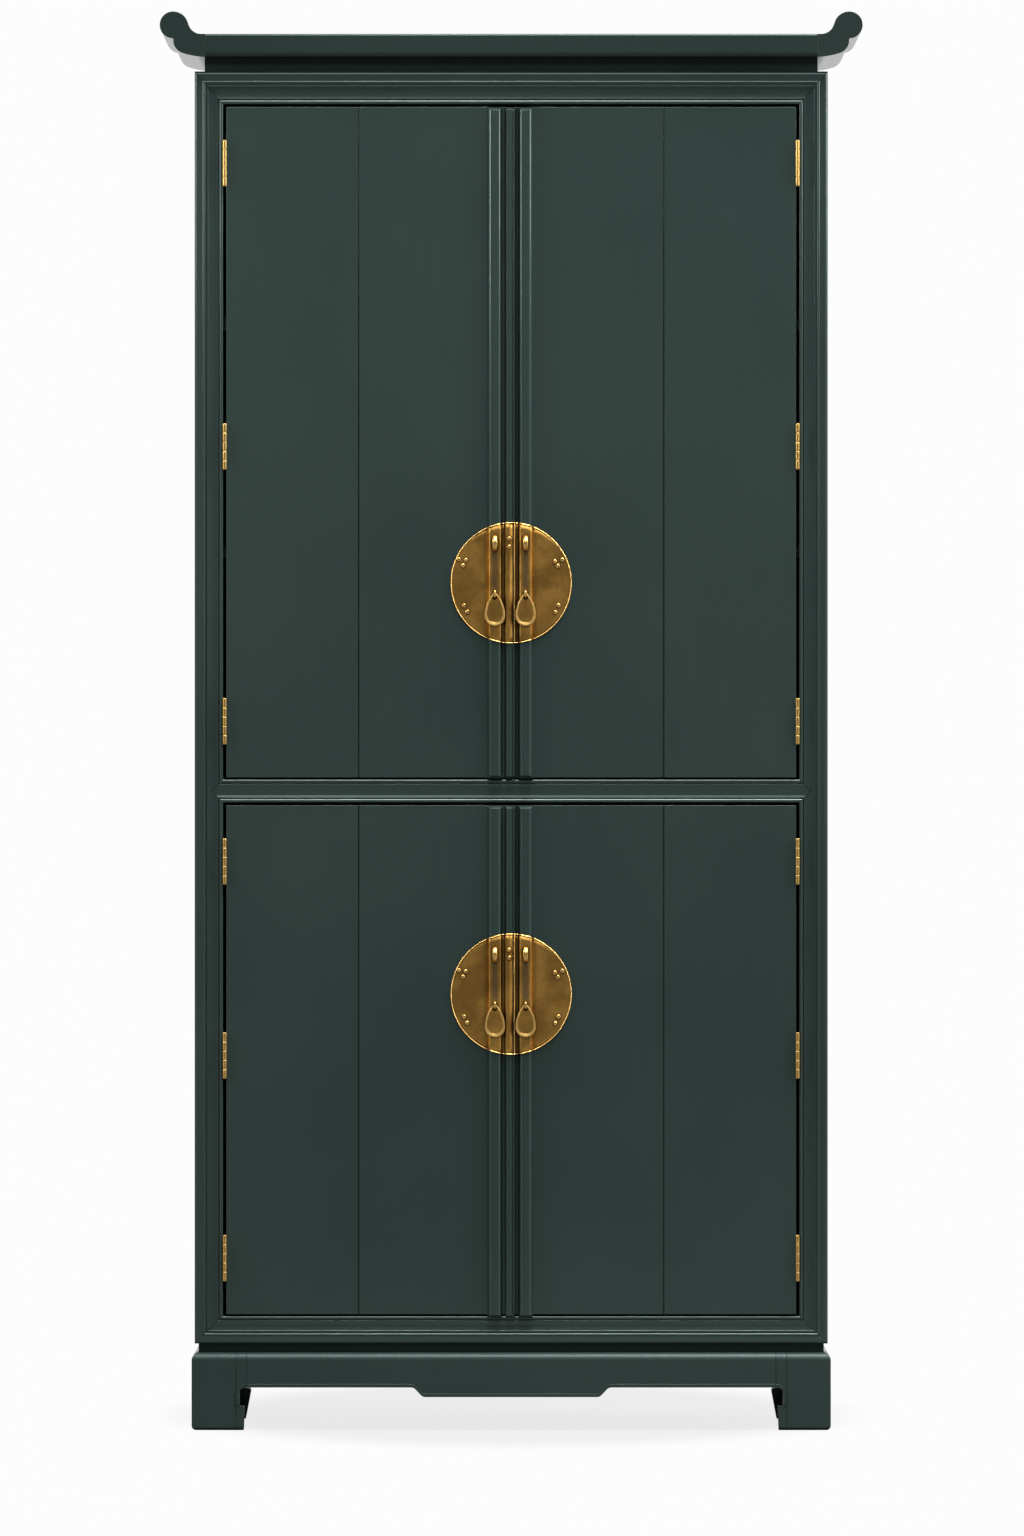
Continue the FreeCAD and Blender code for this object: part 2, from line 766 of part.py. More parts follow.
def left_hinge(level):
    """Frame leaf with the pin fast in it, and door leaf, of one butt hinge."""
    axis = (-hinge_x, hinge_y)
    bottom = level - hinge_height / 2
    top = level + hinge_height / 2
    pitch = hinge_height / knuckle_count
    leaf_front = hinge_y + knuckle_radius + knuckle_clearance
    tab_front = hinge_y + pin_radius + knuckle_clearance
    leaf_back = frame_back - leaf_margin

    def leaf(x, first):
        pieces = []
        for index in range(first, knuckle_count, 2):
            low = bottom + index * pitch + knuckle_gap / 2
            high = low + pitch - knuckle_gap
            pieces.append(small_bar("XY", low, high, axis, knuckle_radius))
            pieces.append(box(x, x + leaf_thickness, tab_front, leaf_front, low, high))
        plate = box(x, x + leaf_thickness, leaf_front, leaf_back, bottom, top)
        return plate.fuse(pieces).removeSplitter()

    pin = small_bar("XY", bottom + knuckle_gap, top - knuckle_gap, axis, pin_radius, pin_sides)
    bore = small_bar("XY", bottom, top, axis, (pin_radius + pin_clearance) / flat_share, pin_sides)
    frame_leaf = leaf(-opening_half, 0).fuse(pin).removeSplitter()
    door_leaf = leaf(-door_half - leaf_thickness, 1).cut(bore)
    return frame_leaf, door_leaf


def catch(side, outline):
    """Magnet block behind a door, from its outline in (depth, height)."""
    near = side * catch_offset - catch_width / 2
    return prism("YZ", near, near + catch_width, outline)


def strike(side, top):
    near = side * catch_offset - strike_width / 2
    high = top - strike_margin
    return box(near, near + strike_width, door_back, door_back + strike_thickness, high - strike_height, high)


def doors():
    upper_low = middle_high + bottom_gap
    upper_high = opening_top - top_gap
    lower_low = opening_bottom + bottom_gap
    lower_high = middle_low - top_gap
    rows = [
        ("upper", upper_low, upper_high, upper_low + upper_plate_height, upper_reed_overhang, -hinge_shift),
        ("lower", lower_low, lower_high, lower_high - lower_plate_drop, lower_reed_overhang, hinge_shift),
    ]
    columns = [
        ("left", -1, meeting_gap / 2 - meeting_offset, left_bead_width, left_reed),
        ("right", 1, meeting_gap / 2 + meeting_offset, right_bead_width, right_reed),
    ]
    frame_leaves = []
    for row, low, high, centre, overhang, shift in rows:
        levels = (low + hinge_end, (low + high) / 2 + shift, high - hinge_end)
        hinges = [left_hinge(level) for level in levels]
        for column, side, edge, bead, middle in columns:
            door = row + "_" + column + "_"
            x = side * middle
            pivot = centre - pull_drop
            outer, inner = boards(side, edge, low, high)
            save(door + "outer_board", outer)
            save(door + "inner_board", inner)
            save(door + "mouldings", *mouldings(side, edge, bead, middle, low - overhang, high))
            save(door + "lock_plate", lock_plate(side, edge, bead, middle, centre))
            save(door + "loop_and_staple", lock_loop(x, centre + loop_height), pull_staple(x, pivot))
            save(door + "pull", pull(x, pivot))
            save(door + "strike", strike(side, high))
            turned = [[leaf if side < 0 else mirrored(leaf) for leaf in hinge] for hinge in hinges]
            frame_leaves += [frame_leaf for frame_leaf, _ in turned]
            save(door + "hinge_leaves", *[door_leaf for _, door_leaf in turned])
    save("frame_hinge_leaves", *frame_leaves)
    back = catch_front + catch_depth
    shoulder = opening_top + top_gap
    on_rail = [
        (frame_back, shoulder), (frame_back, opening_top + catch_grip), (back, opening_top + catch_grip),
        (back, upper_high - catch_drop), (catch_front, upper_high - catch_drop), (catch_front, shoulder)]
    under_partition = [
        (catch_front, lower_high - catch_drop), (catch_front, partition_low),
        (back, partition_low), (back, lower_high - catch_drop)]
    outlines = (on_rail, under_partition)
    save("magnetic_catches", *[catch(side, outline) for outline in outlines for side in (-1, 1)])


os.makedirs("parts", exist_ok=True)
base()
save("waist_strips", *inset_ring(waist_inset, base_height, case_bottom))
case()
face_frame()
save("neck_strips", *inset_ring(neck_inset, case_top, cornice_bottom))
cornice()
doors()
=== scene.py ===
# %% [markdown]
# # A lacquered hutch with brass plates
# The hutch is a tall case on a bracket base, with two pairs of plank doors in a moulded frame.
# Its boards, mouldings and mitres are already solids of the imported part, so they come in as a fixed frame.
# Blender adds what a saw and plane do not give: the lacquer, the formed brass, the rivets and the light.

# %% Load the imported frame
import json
import math

import bpy
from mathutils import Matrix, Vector


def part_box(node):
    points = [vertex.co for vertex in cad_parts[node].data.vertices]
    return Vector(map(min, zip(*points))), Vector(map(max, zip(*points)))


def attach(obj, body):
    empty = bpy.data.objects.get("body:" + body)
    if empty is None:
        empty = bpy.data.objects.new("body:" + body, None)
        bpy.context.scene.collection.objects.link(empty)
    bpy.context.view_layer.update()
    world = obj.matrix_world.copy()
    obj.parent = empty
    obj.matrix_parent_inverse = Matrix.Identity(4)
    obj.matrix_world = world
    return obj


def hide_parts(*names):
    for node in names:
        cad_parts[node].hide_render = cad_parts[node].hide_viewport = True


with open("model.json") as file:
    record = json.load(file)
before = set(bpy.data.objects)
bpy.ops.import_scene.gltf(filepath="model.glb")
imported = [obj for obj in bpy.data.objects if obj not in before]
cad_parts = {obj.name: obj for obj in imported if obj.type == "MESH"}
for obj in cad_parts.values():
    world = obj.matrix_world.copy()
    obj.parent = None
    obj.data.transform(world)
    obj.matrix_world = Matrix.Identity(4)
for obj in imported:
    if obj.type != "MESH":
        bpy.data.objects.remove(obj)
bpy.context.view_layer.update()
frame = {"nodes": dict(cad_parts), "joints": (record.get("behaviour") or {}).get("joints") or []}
nodes = frame["nodes"]
scene = bpy.context.scene
mm = 0.001
door_names = ("upper_left", "upper_right", "lower_left", "lower_right")

# %% [markdown]
# ## Where the photographer stood
# The sides of the case show no depth and its top shows none either, so the camera was far off and level.
# A long lens from 27 metres gives that view. The size of one pixel on the front of the case sets the lens,
# and the middle of the picture sets the height, so the camera needs no shift.

# %% Place the camera
pixel = 1.5162 * mm
picture_rows = 1536
middle_x = 0.8 * pixel
middle_height = 662 * pixel
frame_front = -258 * mm
camera_distance = 27.0
camera_data = bpy.data.cameras.new("long_lens")
camera_data.sensor_width = 36.0
camera_data.lens = camera_data.sensor_width * camera_distance / (picture_rows * pixel)
camera_data.clip_end = 200.0
camera = bpy.data.objects.new("long_lens", camera_data)
camera.location = (middle_x, frame_front - camera_distance, middle_height)
camera.rotation_euler = (math.radians(90), 0, 0)
scene.collection.objects.link(camera)
scene.camera = camera
scene.view_settings.view_transform = "Standard"
print("lens:", round(camera_data.lens, 1), "mm at height", round(camera.location.z, 4), "m")

# %% [markdown]
# ## Sums written as sums
# Finishes and Geometry Nodes trees are both made of small nodes, and wiring them by hand hides the idea.
# This class holds one socket. Adding, taking away or multiplying two of them adds a Math node,
# and its node method makes any other node: settings first, then the values or links of its sockets.

# %% Wrap a socket
class Feed:
    """A socket that can stand in a sum."""

    def __init__(self, tree, socket=None):
        self.tree = tree
        self.socket = socket

    def node(self, kind, settings=None, inputs=None, out=0):
        made = self.tree.nodes.new(kind)
        for label, value in (settings or {}).items():
            setattr(made, label, value)
        for label, value in (inputs or {}).items():
            for item in value if isinstance(value, list) else [value]:
                if isinstance(item, Feed):
                    self.tree.links.new(item.socket, made.inputs[label])
                else:
                    made.inputs[label].default_value = item
        return Feed(self.tree, made.outputs[out])

    def maths(self, operation, first, second=0.0):
        return self.node("ShaderNodeMath", {"operation": operation}, {0: first, 1: second})

    def into(self, socket):
        self.tree.links.new(self.socket, socket)

    def __add__(self, other):
        return self.maths("ADD", self, other)

    def __radd__(self, other):
        return self.maths("ADD", other, self)

    def __sub__(self, other):
        return self.maths("SUBTRACT", self, other)

    def __rsub__(self, other):
        return self.maths("SUBTRACT", other, self)

    def __mul__(self, other):
        return self.maths("MULTIPLY", self, other)

    def __rmul__(self, other):
        return self.maths("MULTIPLY", other, self)

    def __truediv__(self, other):
        return self.maths("DIVIDE", self, other)

    def __rtruediv__(self, other):
        return self.maths("DIVIDE", other, self)


print("class:", Feed.__name__)


# %% Name the sums that repeat
def eased(value, start, end):
    """0 at start and 1 at end, with a soft change between them."""
    return value.node("ShaderNodeMapRange", {"interpolation_type": "SMOOTHSTEP"},
                      {"Value": value, "From Min": start, "From Max": end})


def blended(share, first, second):
    """Colour that goes from first to second."""
    return share.node("ShaderNodeMix", {"data_type": "RGBA"}, {0: share, 6: first, 7: second}, out=2)


def cloud(place, size, detail=2.0):
    """Noise whose patches are about this size, in metres."""
    return place.node("ShaderNodeTexNoise", None, {"Vector": place, "Scale": 1 / size, "Detail": detail})


def axis_of(place, axis):
    """One coordinate of a place: X, Y or Z."""
    return place.node("ShaderNodeSeparateXYZ", None, {"Vector": place}, out=axis)


print("sums ready")

# %% [markdown]
# ## White room, plain floor
# The picture has a white ground and a soft shadow under the case. A white ground must not be made by
# pouring light on the hutch, so the room is white only to rays from the camera and to reflections,
# and a plain grey dome lights the wood. In reflections only the wall behind the hutch is white.
# The side of the studio that faces the doors is grey, for the brass to mirror, and the rest is dim,
# so that grooves stay dark.

# %% Build the room
white = 0.98
wall_level = 0.80
dome_level = 0.24
studio_level = 0.05
facing_level = 0.11
wall_fade = (0.55, 0.92)
facing_fade = (0.45, 0.95)


def ray_kinds(start):
    """1 for rays from the camera, and 1 for rays that come by a mirror or through glass."""
    kinds = ("Is Camera Ray", "Is Glossy Ray", "Is Transmission Ray")
    from_camera, from_gloss, from_glass = [start.node("ShaderNodeLightPath", out=kind) for kind in kinds]
    return from_camera, start.maths("MAXIMUM", from_gloss, from_glass)


world = bpy.data.worlds.new("white_room")
world.use_nodes = True
scene.world = world
room = Feed(world.node_tree)
from_camera, mirrored = ray_kinds(room)
towards_back = axis_of(room.node("ShaderNodeTexCoord", out="Generated"), "Y")
behind = eased(towards_back, *wall_fade) * (wall_level - studio_level)
facing = eased(0 - towards_back, *facing_fade) * (facing_level - studio_level)
reflected_level = studio_level + behind + facing
indirect = mirrored * reflected_level + (1 - mirrored) * dome_level
seen_level = from_camera * white + (1 - from_camera) * indirect
background = world.node_tree.nodes["Background"]
background.inputs["Color"].default_value = (1, 1, 1, 1)
seen_level.into(background.inputs["Strength"])
print("room: white", white, "dome", dome_level)

# %% Lay the floor
floor_radius = 9.0
floor_sides = 96
floor_level = -0.4 * mm
mirror_share = 0.05
shadow_share = 0.18
shadow_middle = (0, 0.45, 0)
shadow_reach = (0.56, 1.5, 1.0)
shadow_fade = (0.72, 1.05)
floor_colour = (0.20, 0.20, 0.20, 1)
ring = [(floor_radius * math.cos(turn), floor_radius * math.sin(turn), floor_level)
        for turn in (math.tau * step / floor_sides for step in range(floor_sides))]
floor_mesh = bpy.data.meshes.new("floor")
floor_mesh.from_pydata(ring, [], [range(floor_sides)])
floor = bpy.data.objects.new("floor", floor_mesh)
scene.collection.objects.link(floor)

floor_paper = bpy.data.materials.new("floor_paper")
floor_paper.use_nodes = True
floor_tree = floor_paper.node_tree
floor_tree.nodes.remove(floor_tree.nodes["Principled BSDF"])
paper = Feed(floor_tree)
from_eye, in_mirror = ray_kinds(paper)
seen = paper.maths("MAXIMUM", from_eye, in_mirror * mirror_share)
on_floor = paper.node("ShaderNodeTexCoord", out="Object")
from_middle = paper.node("ShaderNodeVectorMath", {"operation": "SUBTRACT"}, {0: on_floor, 1: shadow_middle})
spread_out = paper.node("ShaderNodeVectorMath", {"operation": "DIVIDE"}, {0: from_middle, 1: shadow_reach})
reach = paper.node("ShaderNodeVectorMath", {"operation": "LENGTH"}, {0: spread_out}, out="Value")
# The grey patch round the case is painted shadow: there the white glow is cut back and a dark diffuse share
# is mixed in, which also carries the lamps' own shadow.
shaded = shadow_share * (1 - eased(reach, *shadow_fade))
matt = paper.node("ShaderNodeBsdfDiffuse", None, {"Color": floor_colour})
glow = paper.node("ShaderNodeEmission", None, {"Color": (1, 1, 1, 1), "Strength": white})
paper.node("ShaderNodeMixShader", None, {0: seen * (1 - shaded), 1: matt, 2: glow}).into(
    floor_tree.nodes["Material Output"].inputs["Surface"])
floor_mesh.materials.append(floor_paper)
print("floor: radius", floor_radius, "m")


# %% Hang the softboxes
def softbox(name, place, aim, width, height, watts):
    """Rectangular lamp at place, turned to face aim, and not itself in the picture."""
    lamp = bpy.data.lights.new(name, "AREA")
    lamp.shape = "RECTANGLE"
    lamp.size = width
    lamp.size_y = height
    lamp.energy = watts
    holder = bpy.data.objects.new(name, lamp)
    holder.location = place
    holder.rotation_euler = (Vector(aim) - Vector(place)).to_track_quat("-Z", "Y").to_euler()
    holder.visible_camera = False
    scene.collection.objects.link(holder)
    print(name, watts, "W")


softbox("top_softbox", (1.1, -1.25, 6.0), (0.4, -0.3, 1.2), 4.0, 1.2, 420)
softbox("front_softbox", (0.8, -3.6, 5.0), (0.0, -0.25, 1.2), 4.0, 2.4, 106)
softbox("left_strip", (-2.4, -0.9, 2.4), (-0.3, -0.25, 1.6), 0.4, 1.3, 26)
softbox("right_strip", (2.4, -0.9, 2.5), (0.3, -0.25, 1.6), 0.4, 1.3, 29)
softbox("left_screen", (-2.6, -1.4, 1.1), (-0.4, -0.25, 1.0), 0.7, 2.2, 6)
softbox("right_screen", (2.6, -1.4, 1.1), (0.4, -0.25, 1.0), 0.7, 2.2, 7)


# %% [markdown]
# ## Lacquer
# The wood is sprayed with a dark green-grey satin lacquer, whose sheen is a little green too. It hides the
# colour of the wood, but the grain still lifts it a little, the sprayer leaves a fine orange peel, and
# hands rub the arrises lighter and smoother. One function makes the finish for boards that run up, across
# or to the back, with the grain along the board.
# Where two boards meet the lacquer cracks in a hairline, and the quirks beside the reeds get dark lines of
# painted shade, so the function also takes such lines, and a band of heights for a painted shadow under the
# cornice. The Bevel node rounds every arris in the light by a millimetre, so the solids keep their few
# faces, and the Ambient Occlusion node finds the corners and grooves, which are painted almost black as
# shade.

# %% Name the colours and the grain
green_lacquer = ((0.0228, 0.0383, 0.0343, 1), (0.0307, 0.0488, 0.0437, 1))
# A darker copy of the green lacquer, for the cornice and its scrolls.
darker_cornice_lacquer = ((0.0140, 0.0240, 0.0215, 1), (0.0188, 0.0309, 0.0277, 1))
# A darker copy of the lacquer for the waist strips: painted shade for the deep waist.
shaded_recess_lacquer = ((0.0070, 0.0130, 0.0114, 1), (0.0104, 0.0189, 0.0167, 1))
rubbed_colour = (0.055, 0.078, 0.073, 1)
# Near-black for the joint lines and for painted shade.
joint_and_shade_colour = (0.005, 0.008, 0.007, 1)
sheen = (0.70, 1.0, 0.93, 1)
coat_dullness = 0.12
arris_radius = 1.0 * mm
grain_up = (130, 130, 5)
grain_across = (5, 130, 130)
grain_back = (130, 5, 130)
print("lacquers: green, darker and recess, each with a deep and a pale tone")


# %% Write what every finish needs
def finish(name, fixed):
    """New material with its fixed values: the material, its shader's sockets and the place on a piece."""
    material = bpy.data.materials.new(name)
    material.use_nodes = True
    shader = material.node_tree.nodes["Principled BSDF"]
    for label, value in fixed.items():
        shader.inputs[label].default_value = value
    place = Feed(material.node_tree).node("ShaderNodeTexCoord", out="Object")
    return material, shader.inputs, place


def bumped(sockets, height, strength, depth, under=None):
    """Lifts the surface by a height, over the normal that lies under it."""
    inputs = {"Strength": strength, "Distance": depth, "Height": height}
    if under:
        inputs["Normal"] = under
    height.node("ShaderNodeBump", None, inputs).into(sockets["Normal"])


def grain_of(place, run):
    """Streaks along a board; run gives the streaks per metre along X, Y and Z."""
    along = place.node("ShaderNodeMapping", None, {"Vector": place, "Scale": run})
    return place.node("ShaderNodeTexNoise", None, {"Vector": along, "Scale": 1.0, "Detail": 4.0})


def openness(place, distance):
    """1 where a surface is open to the air, towards 0 in corners and grooves."""
    return place.node("ShaderNodeAmbientOcclusion", {"samples": 8}, {"Distance": distance}, out="AO")


print("finish tools ready")

# %% Write the lines and the painted shadow band
crack_core = 0.3
shadow_band_fade = (5, 3)


def hairline(place, lines):
    """1 on the given lines of the front: (x, z) of both ends and half the width, in millimetres."""
    across = axis_of(place, "X")
    height = axis_of(place, "Z")
    crack = 0.0
    for begin, end, width in lines:
        line = Vector(end) - Vector(begin)
        run = line.normalized()
        length = line.length
        off_x = across - begin[0] * mm
        off_z = height - begin[1] * mm
        beside = place.maths("ABSOLUTE", off_x * run.y - off_z * run.x)
        along = off_x * run.x + off_z * run.y
        within = eased(along, -width * mm, 0.0) * (1 - eased(along, length * mm, (length + width) * mm))
        core = 1 - eased(beside, crack_core * width * mm, width * mm)
        crack = place.maths("MAXIMUM", crack, within * core)
    return crack


def both_sides(lines, width):
    """The lines of the right half and their mirror images, with their width."""
    right = [(begin, end, width) for begin, end in lines]
    left = [((-begin[0], begin[1]), (-end[0], end[1]), width) for begin, end in lines]
    return right + left


# The band this gives is darkened as a painted shadow under the cornice.
def shadow_band_share(place, low, high):
    """1 between two heights in millimetres, with soft ends."""
    height = axis_of(place, "Z")
    below = eased(height, low * mm, (low + shadow_band_fade[0]) * mm)
    return below * (1 - eased(height, (high - shadow_band_fade[1]) * mm, high * mm))


print("a crack is darkest over", crack_core, "of its half width")


# %% Write the lacquer
def lacquer(name, run, lines=(), colours=green_lacquer, dullness=0.23, gloss=0.58, coat=0.4, under_cornice_shadow=(),
            grain_lift=0.05):
    """Lacquer over grain that runs one way, with corners darkened as painted shade, and with dark lines and
    a band of painted shadow where they are given.
    """
    material, sockets, place = finish(name, {
        "Specular IOR Level": gloss, "Specular Tint": sheen, "Coat Weight": coat,
        "Coat Roughness": coat_dullness})
    drift = cloud(place, 0.45)
    streaks = grain_of(place, run)
    peel = cloud(place, 1.6 * mm, 1.0)
    rounded = place.node("ShaderNodeBevel", {"samples": 10}, {"Radius": arris_radius})
    flat = place.node("ShaderNodeNewGeometry", out="Normal")
    same = place.node("ShaderNodeVectorMath", {"operation": "DOT_PRODUCT"},
                      {0: rounded, 1: flat}, out="Value")
    rubbed = eased(1 - same, 0.02, 0.3)
    # Painted shade: corners and grooves that Ambient Occlusion finds closed in are darkened towards black.
    joints_and_painted_shade = eased(1 - openness(place, 14 * mm), 0.35, 0.8) * 0.8
    # Dark joint lines, and lines of painted shade in the quirks.
    if lines:
        joints_and_painted_shade = place.maths("MAXIMUM", joints_and_painted_shade, hairline(place, lines) * 0.9)
    # Painted shadow: a band under the cornice's nose is darkened.
    if under_cornice_shadow:
        joints_and_painted_shade = place.maths("MAXIMUM", joints_and_painted_shade, shadow_band_share(place, *under_cornice_shadow) * 0.75)
    tone = eased(drift * 0.85 + streaks * 0.15, 0.25, 0.75)
    worn = blended(rubbed * 0.35, blended(tone, *colours), rubbed_colour)
    blended(joints_and_painted_shade, worn, joint_and_shade_colour).into(sockets["Base Color"])
    (dullness + (streaks - 0.5) * 0.015 - rubbed * 0.06).into(sockets["Roughness"])
    bumped(sockets, streaks * grain_lift + peel * 0.12, 0.2, 0.1 * mm, rounded)
    return material


print("lacquer over arrises of", arris_radius / mm, "mm")

# %% Draw the joints and the painted shade in the quirks
opening_foot = 172.5
opening_top = 2010.5
joint_width = 0.8
frame_joints = both_sides([((437, opening_top), (480, 2060)), ((437, opening_foot), (480, 131)),
                           ((437, 986.5), (454.5, 969)), ((437, 951.5), (454.5, 969))], joint_width)
foot_joints = both_sides([((417.5, 0), (417.5, 117.5)), ((401.2, 50), (401.2, 117.5))], joint_width)
scroll_joints = both_sides([((464, 2081), (464, 2116))], joint_width)
plank_joints = both_sides([((231.3, opening_foot), (231.3, opening_top))], 1.8)
# The meeting line is a joint; the two quirk lines are painted shade in the grooves beside the reeds.
meeting_joint, right_quirk_shade, left_quirk_shade = [
    ((x, opening_foot), (x, opening_top), width) for x, width in ((2.6, 0.9), (7.6, 3.2), (-9.4, 1.6))]
door_lines = plank_joints + [meeting_joint, right_quirk_shade, left_quirk_shade]
print("lines:", len(frame_joints), "on the frame and", len(door_lines), "on the doors")

# %% Mix a lacquer for each kind of board
# Heights in millimetres of the painted shadow band under the cornice's nose.
cornice_shadow_band = (2068, 2088)
base_sheen = {"dullness": 0.42, "gloss": 0.34, "coat": 0.06}

lacquer_up = lacquer("lacquer_up", grain_up)
lacquer_across = lacquer("lacquer_across", grain_across)
lacquer_back = lacquer("lacquer_back", grain_back)
lacquer_stiles = lacquer("lacquer_stiles", grain_up, frame_joints)
lacquer_rails = lacquer("lacquer_rails", grain_across, frame_joints)
lacquer_doors = lacquer("lacquer_doors", grain_up, door_lines)
lacquer_edges = lacquer("lacquer_edges", grain_up, [meeting_joint])
lacquer_feet = lacquer("lacquer_feet", grain_up, foot_joints, **base_sheen)
lacquer_aprons = lacquer("lacquer_aprons", grain_across, foot_joints, **base_sheen)
lacquer_neck = lacquer("lacquer_neck", grain_across, dullness=0.28, gloss=0.25, coat=0.3, under_cornice_shadow=cornice_shadow_band)
# The waist strips take the darker copy, as painted shade.
lacquer_shaded_recess = lacquer("lacquer_shaded_recess", grain_across, (), shaded_recess_lacquer, 0.50, 0.2, 0.0)
lacquer_cornice = lacquer("lacquer_cornice", grain_across, scroll_joints, darker_cornice_lacquer, 0.28, 0.35, 0.3,
                          cornice_shadow_band)
lacquer_scrolls = lacquer("lacquer_scrolls", grain_back, scroll_joints, darker_cornice_lacquer)
print("lacquer on boards without joints:", lacquer_up.name, lacquer_across.name, lacquer_back.name)

# %% [markdown]
# ## Inside of the case
# Inside, the maker gives one thin coat and does not rub it down, so it is duller and the grain stands in it.
# It is the same function with other values.

# %% Mix the thin inner coat
inner_coat = {"colours": ((0.019, 0.029, 0.026, 1), (0.036, 0.050, 0.045, 1)),
              "dullness": 0.58, "coat": 0.1, "grain_lift": 1.6}
inner_up = lacquer("inner_up", (90, 90, 4), **inner_coat)
inner_across = lacquer("inner_across", (4, 90, 90), **inner_coat)
print("inner coat:", inner_up.name, inner_across.name)

# %% [markdown]
# ## Brass, old and bright
# The plates are sheet brass gone brown in the lacquer, mottled, with a grey bar where the padlock's bar
# rubbed. What hands and doors touch, the hinges, rims and rivets, stays bright. Both are full metals, so
# their colour is the colour of the reflection, and the roughness tells the polished from the dull.
# Painted shade darkens the valleys and closed-in corners of the brass, and a dark disc under each rivet
# paints a shadow ring round it.

# %% Name the metals' colours
brass_edge = (0.90, 0.58, 0.22, 1)
brass_gold = (0.70, 0.395, 0.095, 1)
brass_brown = (0.42, 0.228, 0.053, 1)
brass_umber = (0.19, 0.098, 0.025, 1)
brass_grey = (0.165, 0.125, 0.078, 1)
# The darkest brown is painted shade, for closed-in corners of the brass.
brass_shade_black = (0.026, 0.013, 0.004, 1)
gilt = (0.88, 0.57, 0.19, 1)
gilt_dull = (0.70, 0.43, 0.125, 1)
steel_dark = (0.30, 0.30, 0.29, 1)
steel_pale = (0.46, 0.46, 0.45, 1)
plastic_dark = (0.010, 0.009, 0.008, 1)
plastic_pale = (0.019, 0.017, 0.015, 1)
print("brass from", gilt[:3], "to", brass_shade_black[:3])

# %% Mix the old brass of the plates
plate_levels = (1284.5 * mm, 661.0 * mm)
plate_axis = -1.4 * mm
bar_offset = 23.3 * mm
bar_rise = 22 * mm


def old_brass(name):
    material, sockets, place = finish(name, {"Metallic": 1.0, "Specular Tint": brass_edge})
    mottle = eased(cloud(place, 34 * mm, 3.0), 0.3, 0.72)
    bloom = eased(cloud(place, 9 * mm, 3.0), 0.45, 0.8)
    fine = cloud(place, 1.1 * mm)
    from_axis = place.maths("ABSOLUTE", axis_of(place, "X") - plate_axis)
    from_bar = place.maths("ABSOLUTE", from_axis - bar_offset)
    drops = [axis_of(place, "Z") - (level + bar_rise) for level in plate_levels]
    from_middle = place.maths("MINIMUM", *[place.maths("ABSOLUTE", drop) for drop in drops])
    worn_bar = (1 - eased(from_bar, 3.0 * mm, 5.5 * mm)) * (1 - eased(from_middle, 26 * mm, 36 * mm))
    metal = blended(bloom * 0.45, blended(mottle, brass_brown, brass_gold), brass_umber)
    # Painted shade: valleys and the plate round pulls, loops and rivets go dark where Ambient Occlusion
    # finds them closed in.
    painted_shade = eased(1 - openness(place, 12 * mm), 0.10, 0.45)
    rubbed = blended(worn_bar * 0.62, metal, brass_grey)
    blended(painted_shade * 0.9, rubbed, brass_shade_black).into(sockets["Base Color"])
    (0.40 + bloom * 0.14 + (fine - 0.5) * 0.12).into(sockets["Roughness"])
    bumped(sockets, mottle * 1.2 + fine * 0.25, 0.4, 0.12 * mm)
    return material


plate_brass = old_brass("plate_brass")
print("old brass:", plate_brass.name)


# %% Mix the bright brass and the painted shade
def bright_brass(name, dullness):
    material, sockets, place = finish(name, {"Metallic": 1.0, "Specular Tint": brass_edge})
    tarnish = eased(cloud(place, 7 * mm, 3.0), 0.42, 0.75)
    scratches = grain_of(place, (1500, 1500, 90))
    # Painted shade: rim sides, rivet feet and knuckle gaps darken where Ambient Occlusion finds them closed
    # in.
    painted_shade = eased(1 - openness(place, 4 * mm), 0.3, 0.62)
    blended(painted_shade * 0.8, blended(tarnish, gilt, gilt_dull), brass_shade_black).into(sockets["Base Color"])
    (dullness + tarnish * 0.08 + (scratches - 0.5) * 0.08).into(sockets["Roughness"])
    bumped(sockets, scratches, 0.08, 0.05 * mm)
    return material


# Dark brass for the discs under the rivets: a painted shadow ring round each one.
def make_shade_disc_brass(name):
    material, sockets, place = finish(name, {"Metallic": 0.6})
    crumbs = cloud(place, 0.9 * mm)
    blended(crumbs, brass_shade_black, brass_umber).into(sockets["Base Color"])
    (0.55 + crumbs * 0.2).into(sockets["Roughness"])
    bumped(sockets, crumbs, 0.3, 0.08 * mm)
    return material


rim_brass = bright_brass("rim_brass", 0.33)
pull_brass = bright_brass("pull_brass", 0.40)
painted_shade_brass = make_shade_disc_brass("painted_shade_brass")
print("bright brass:", rim_brass.name, pull_brass.name, "and dirt:", painted_shade_brass.name)


# %% Mix the steel and the plastic
def plain_steel(name):
    material, sockets, place = finish(name, {"Metallic": 1.0})
    brushed = grain_of(place, (60, 1800, 1800))
    blended(brushed, steel_dark, steel_pale).into(sockets["Base Color"])
    (0.30 + brushed * 0.2).into(sockets["Roughness"])
    bumped(sockets, brushed, 0.15, 0.05 * mm)
    return material


def moulded_plastic(name):
    material, sockets, place = finish(name, {"Specular IOR Level": 0.4})
    sparks = cloud(place, 0.7 * mm)
    swirl = cloud(place, 12 * mm, 3.0)
    blended(swirl, plastic_dark, plastic_pale).into(sockets["Base Color"])
    (0.46 + (sparks - 0.5) * 0.2).into(sockets["Roughness"])
    bumped(sockets, sparks, 0.3, 0.08 * mm)
    return material


strike_steel = plain_steel("strike_steel")
catch_plastic = moulded_plastic("catch_plastic")
print("steel and plastic:", strike_steel.name, catch_plastic.name)

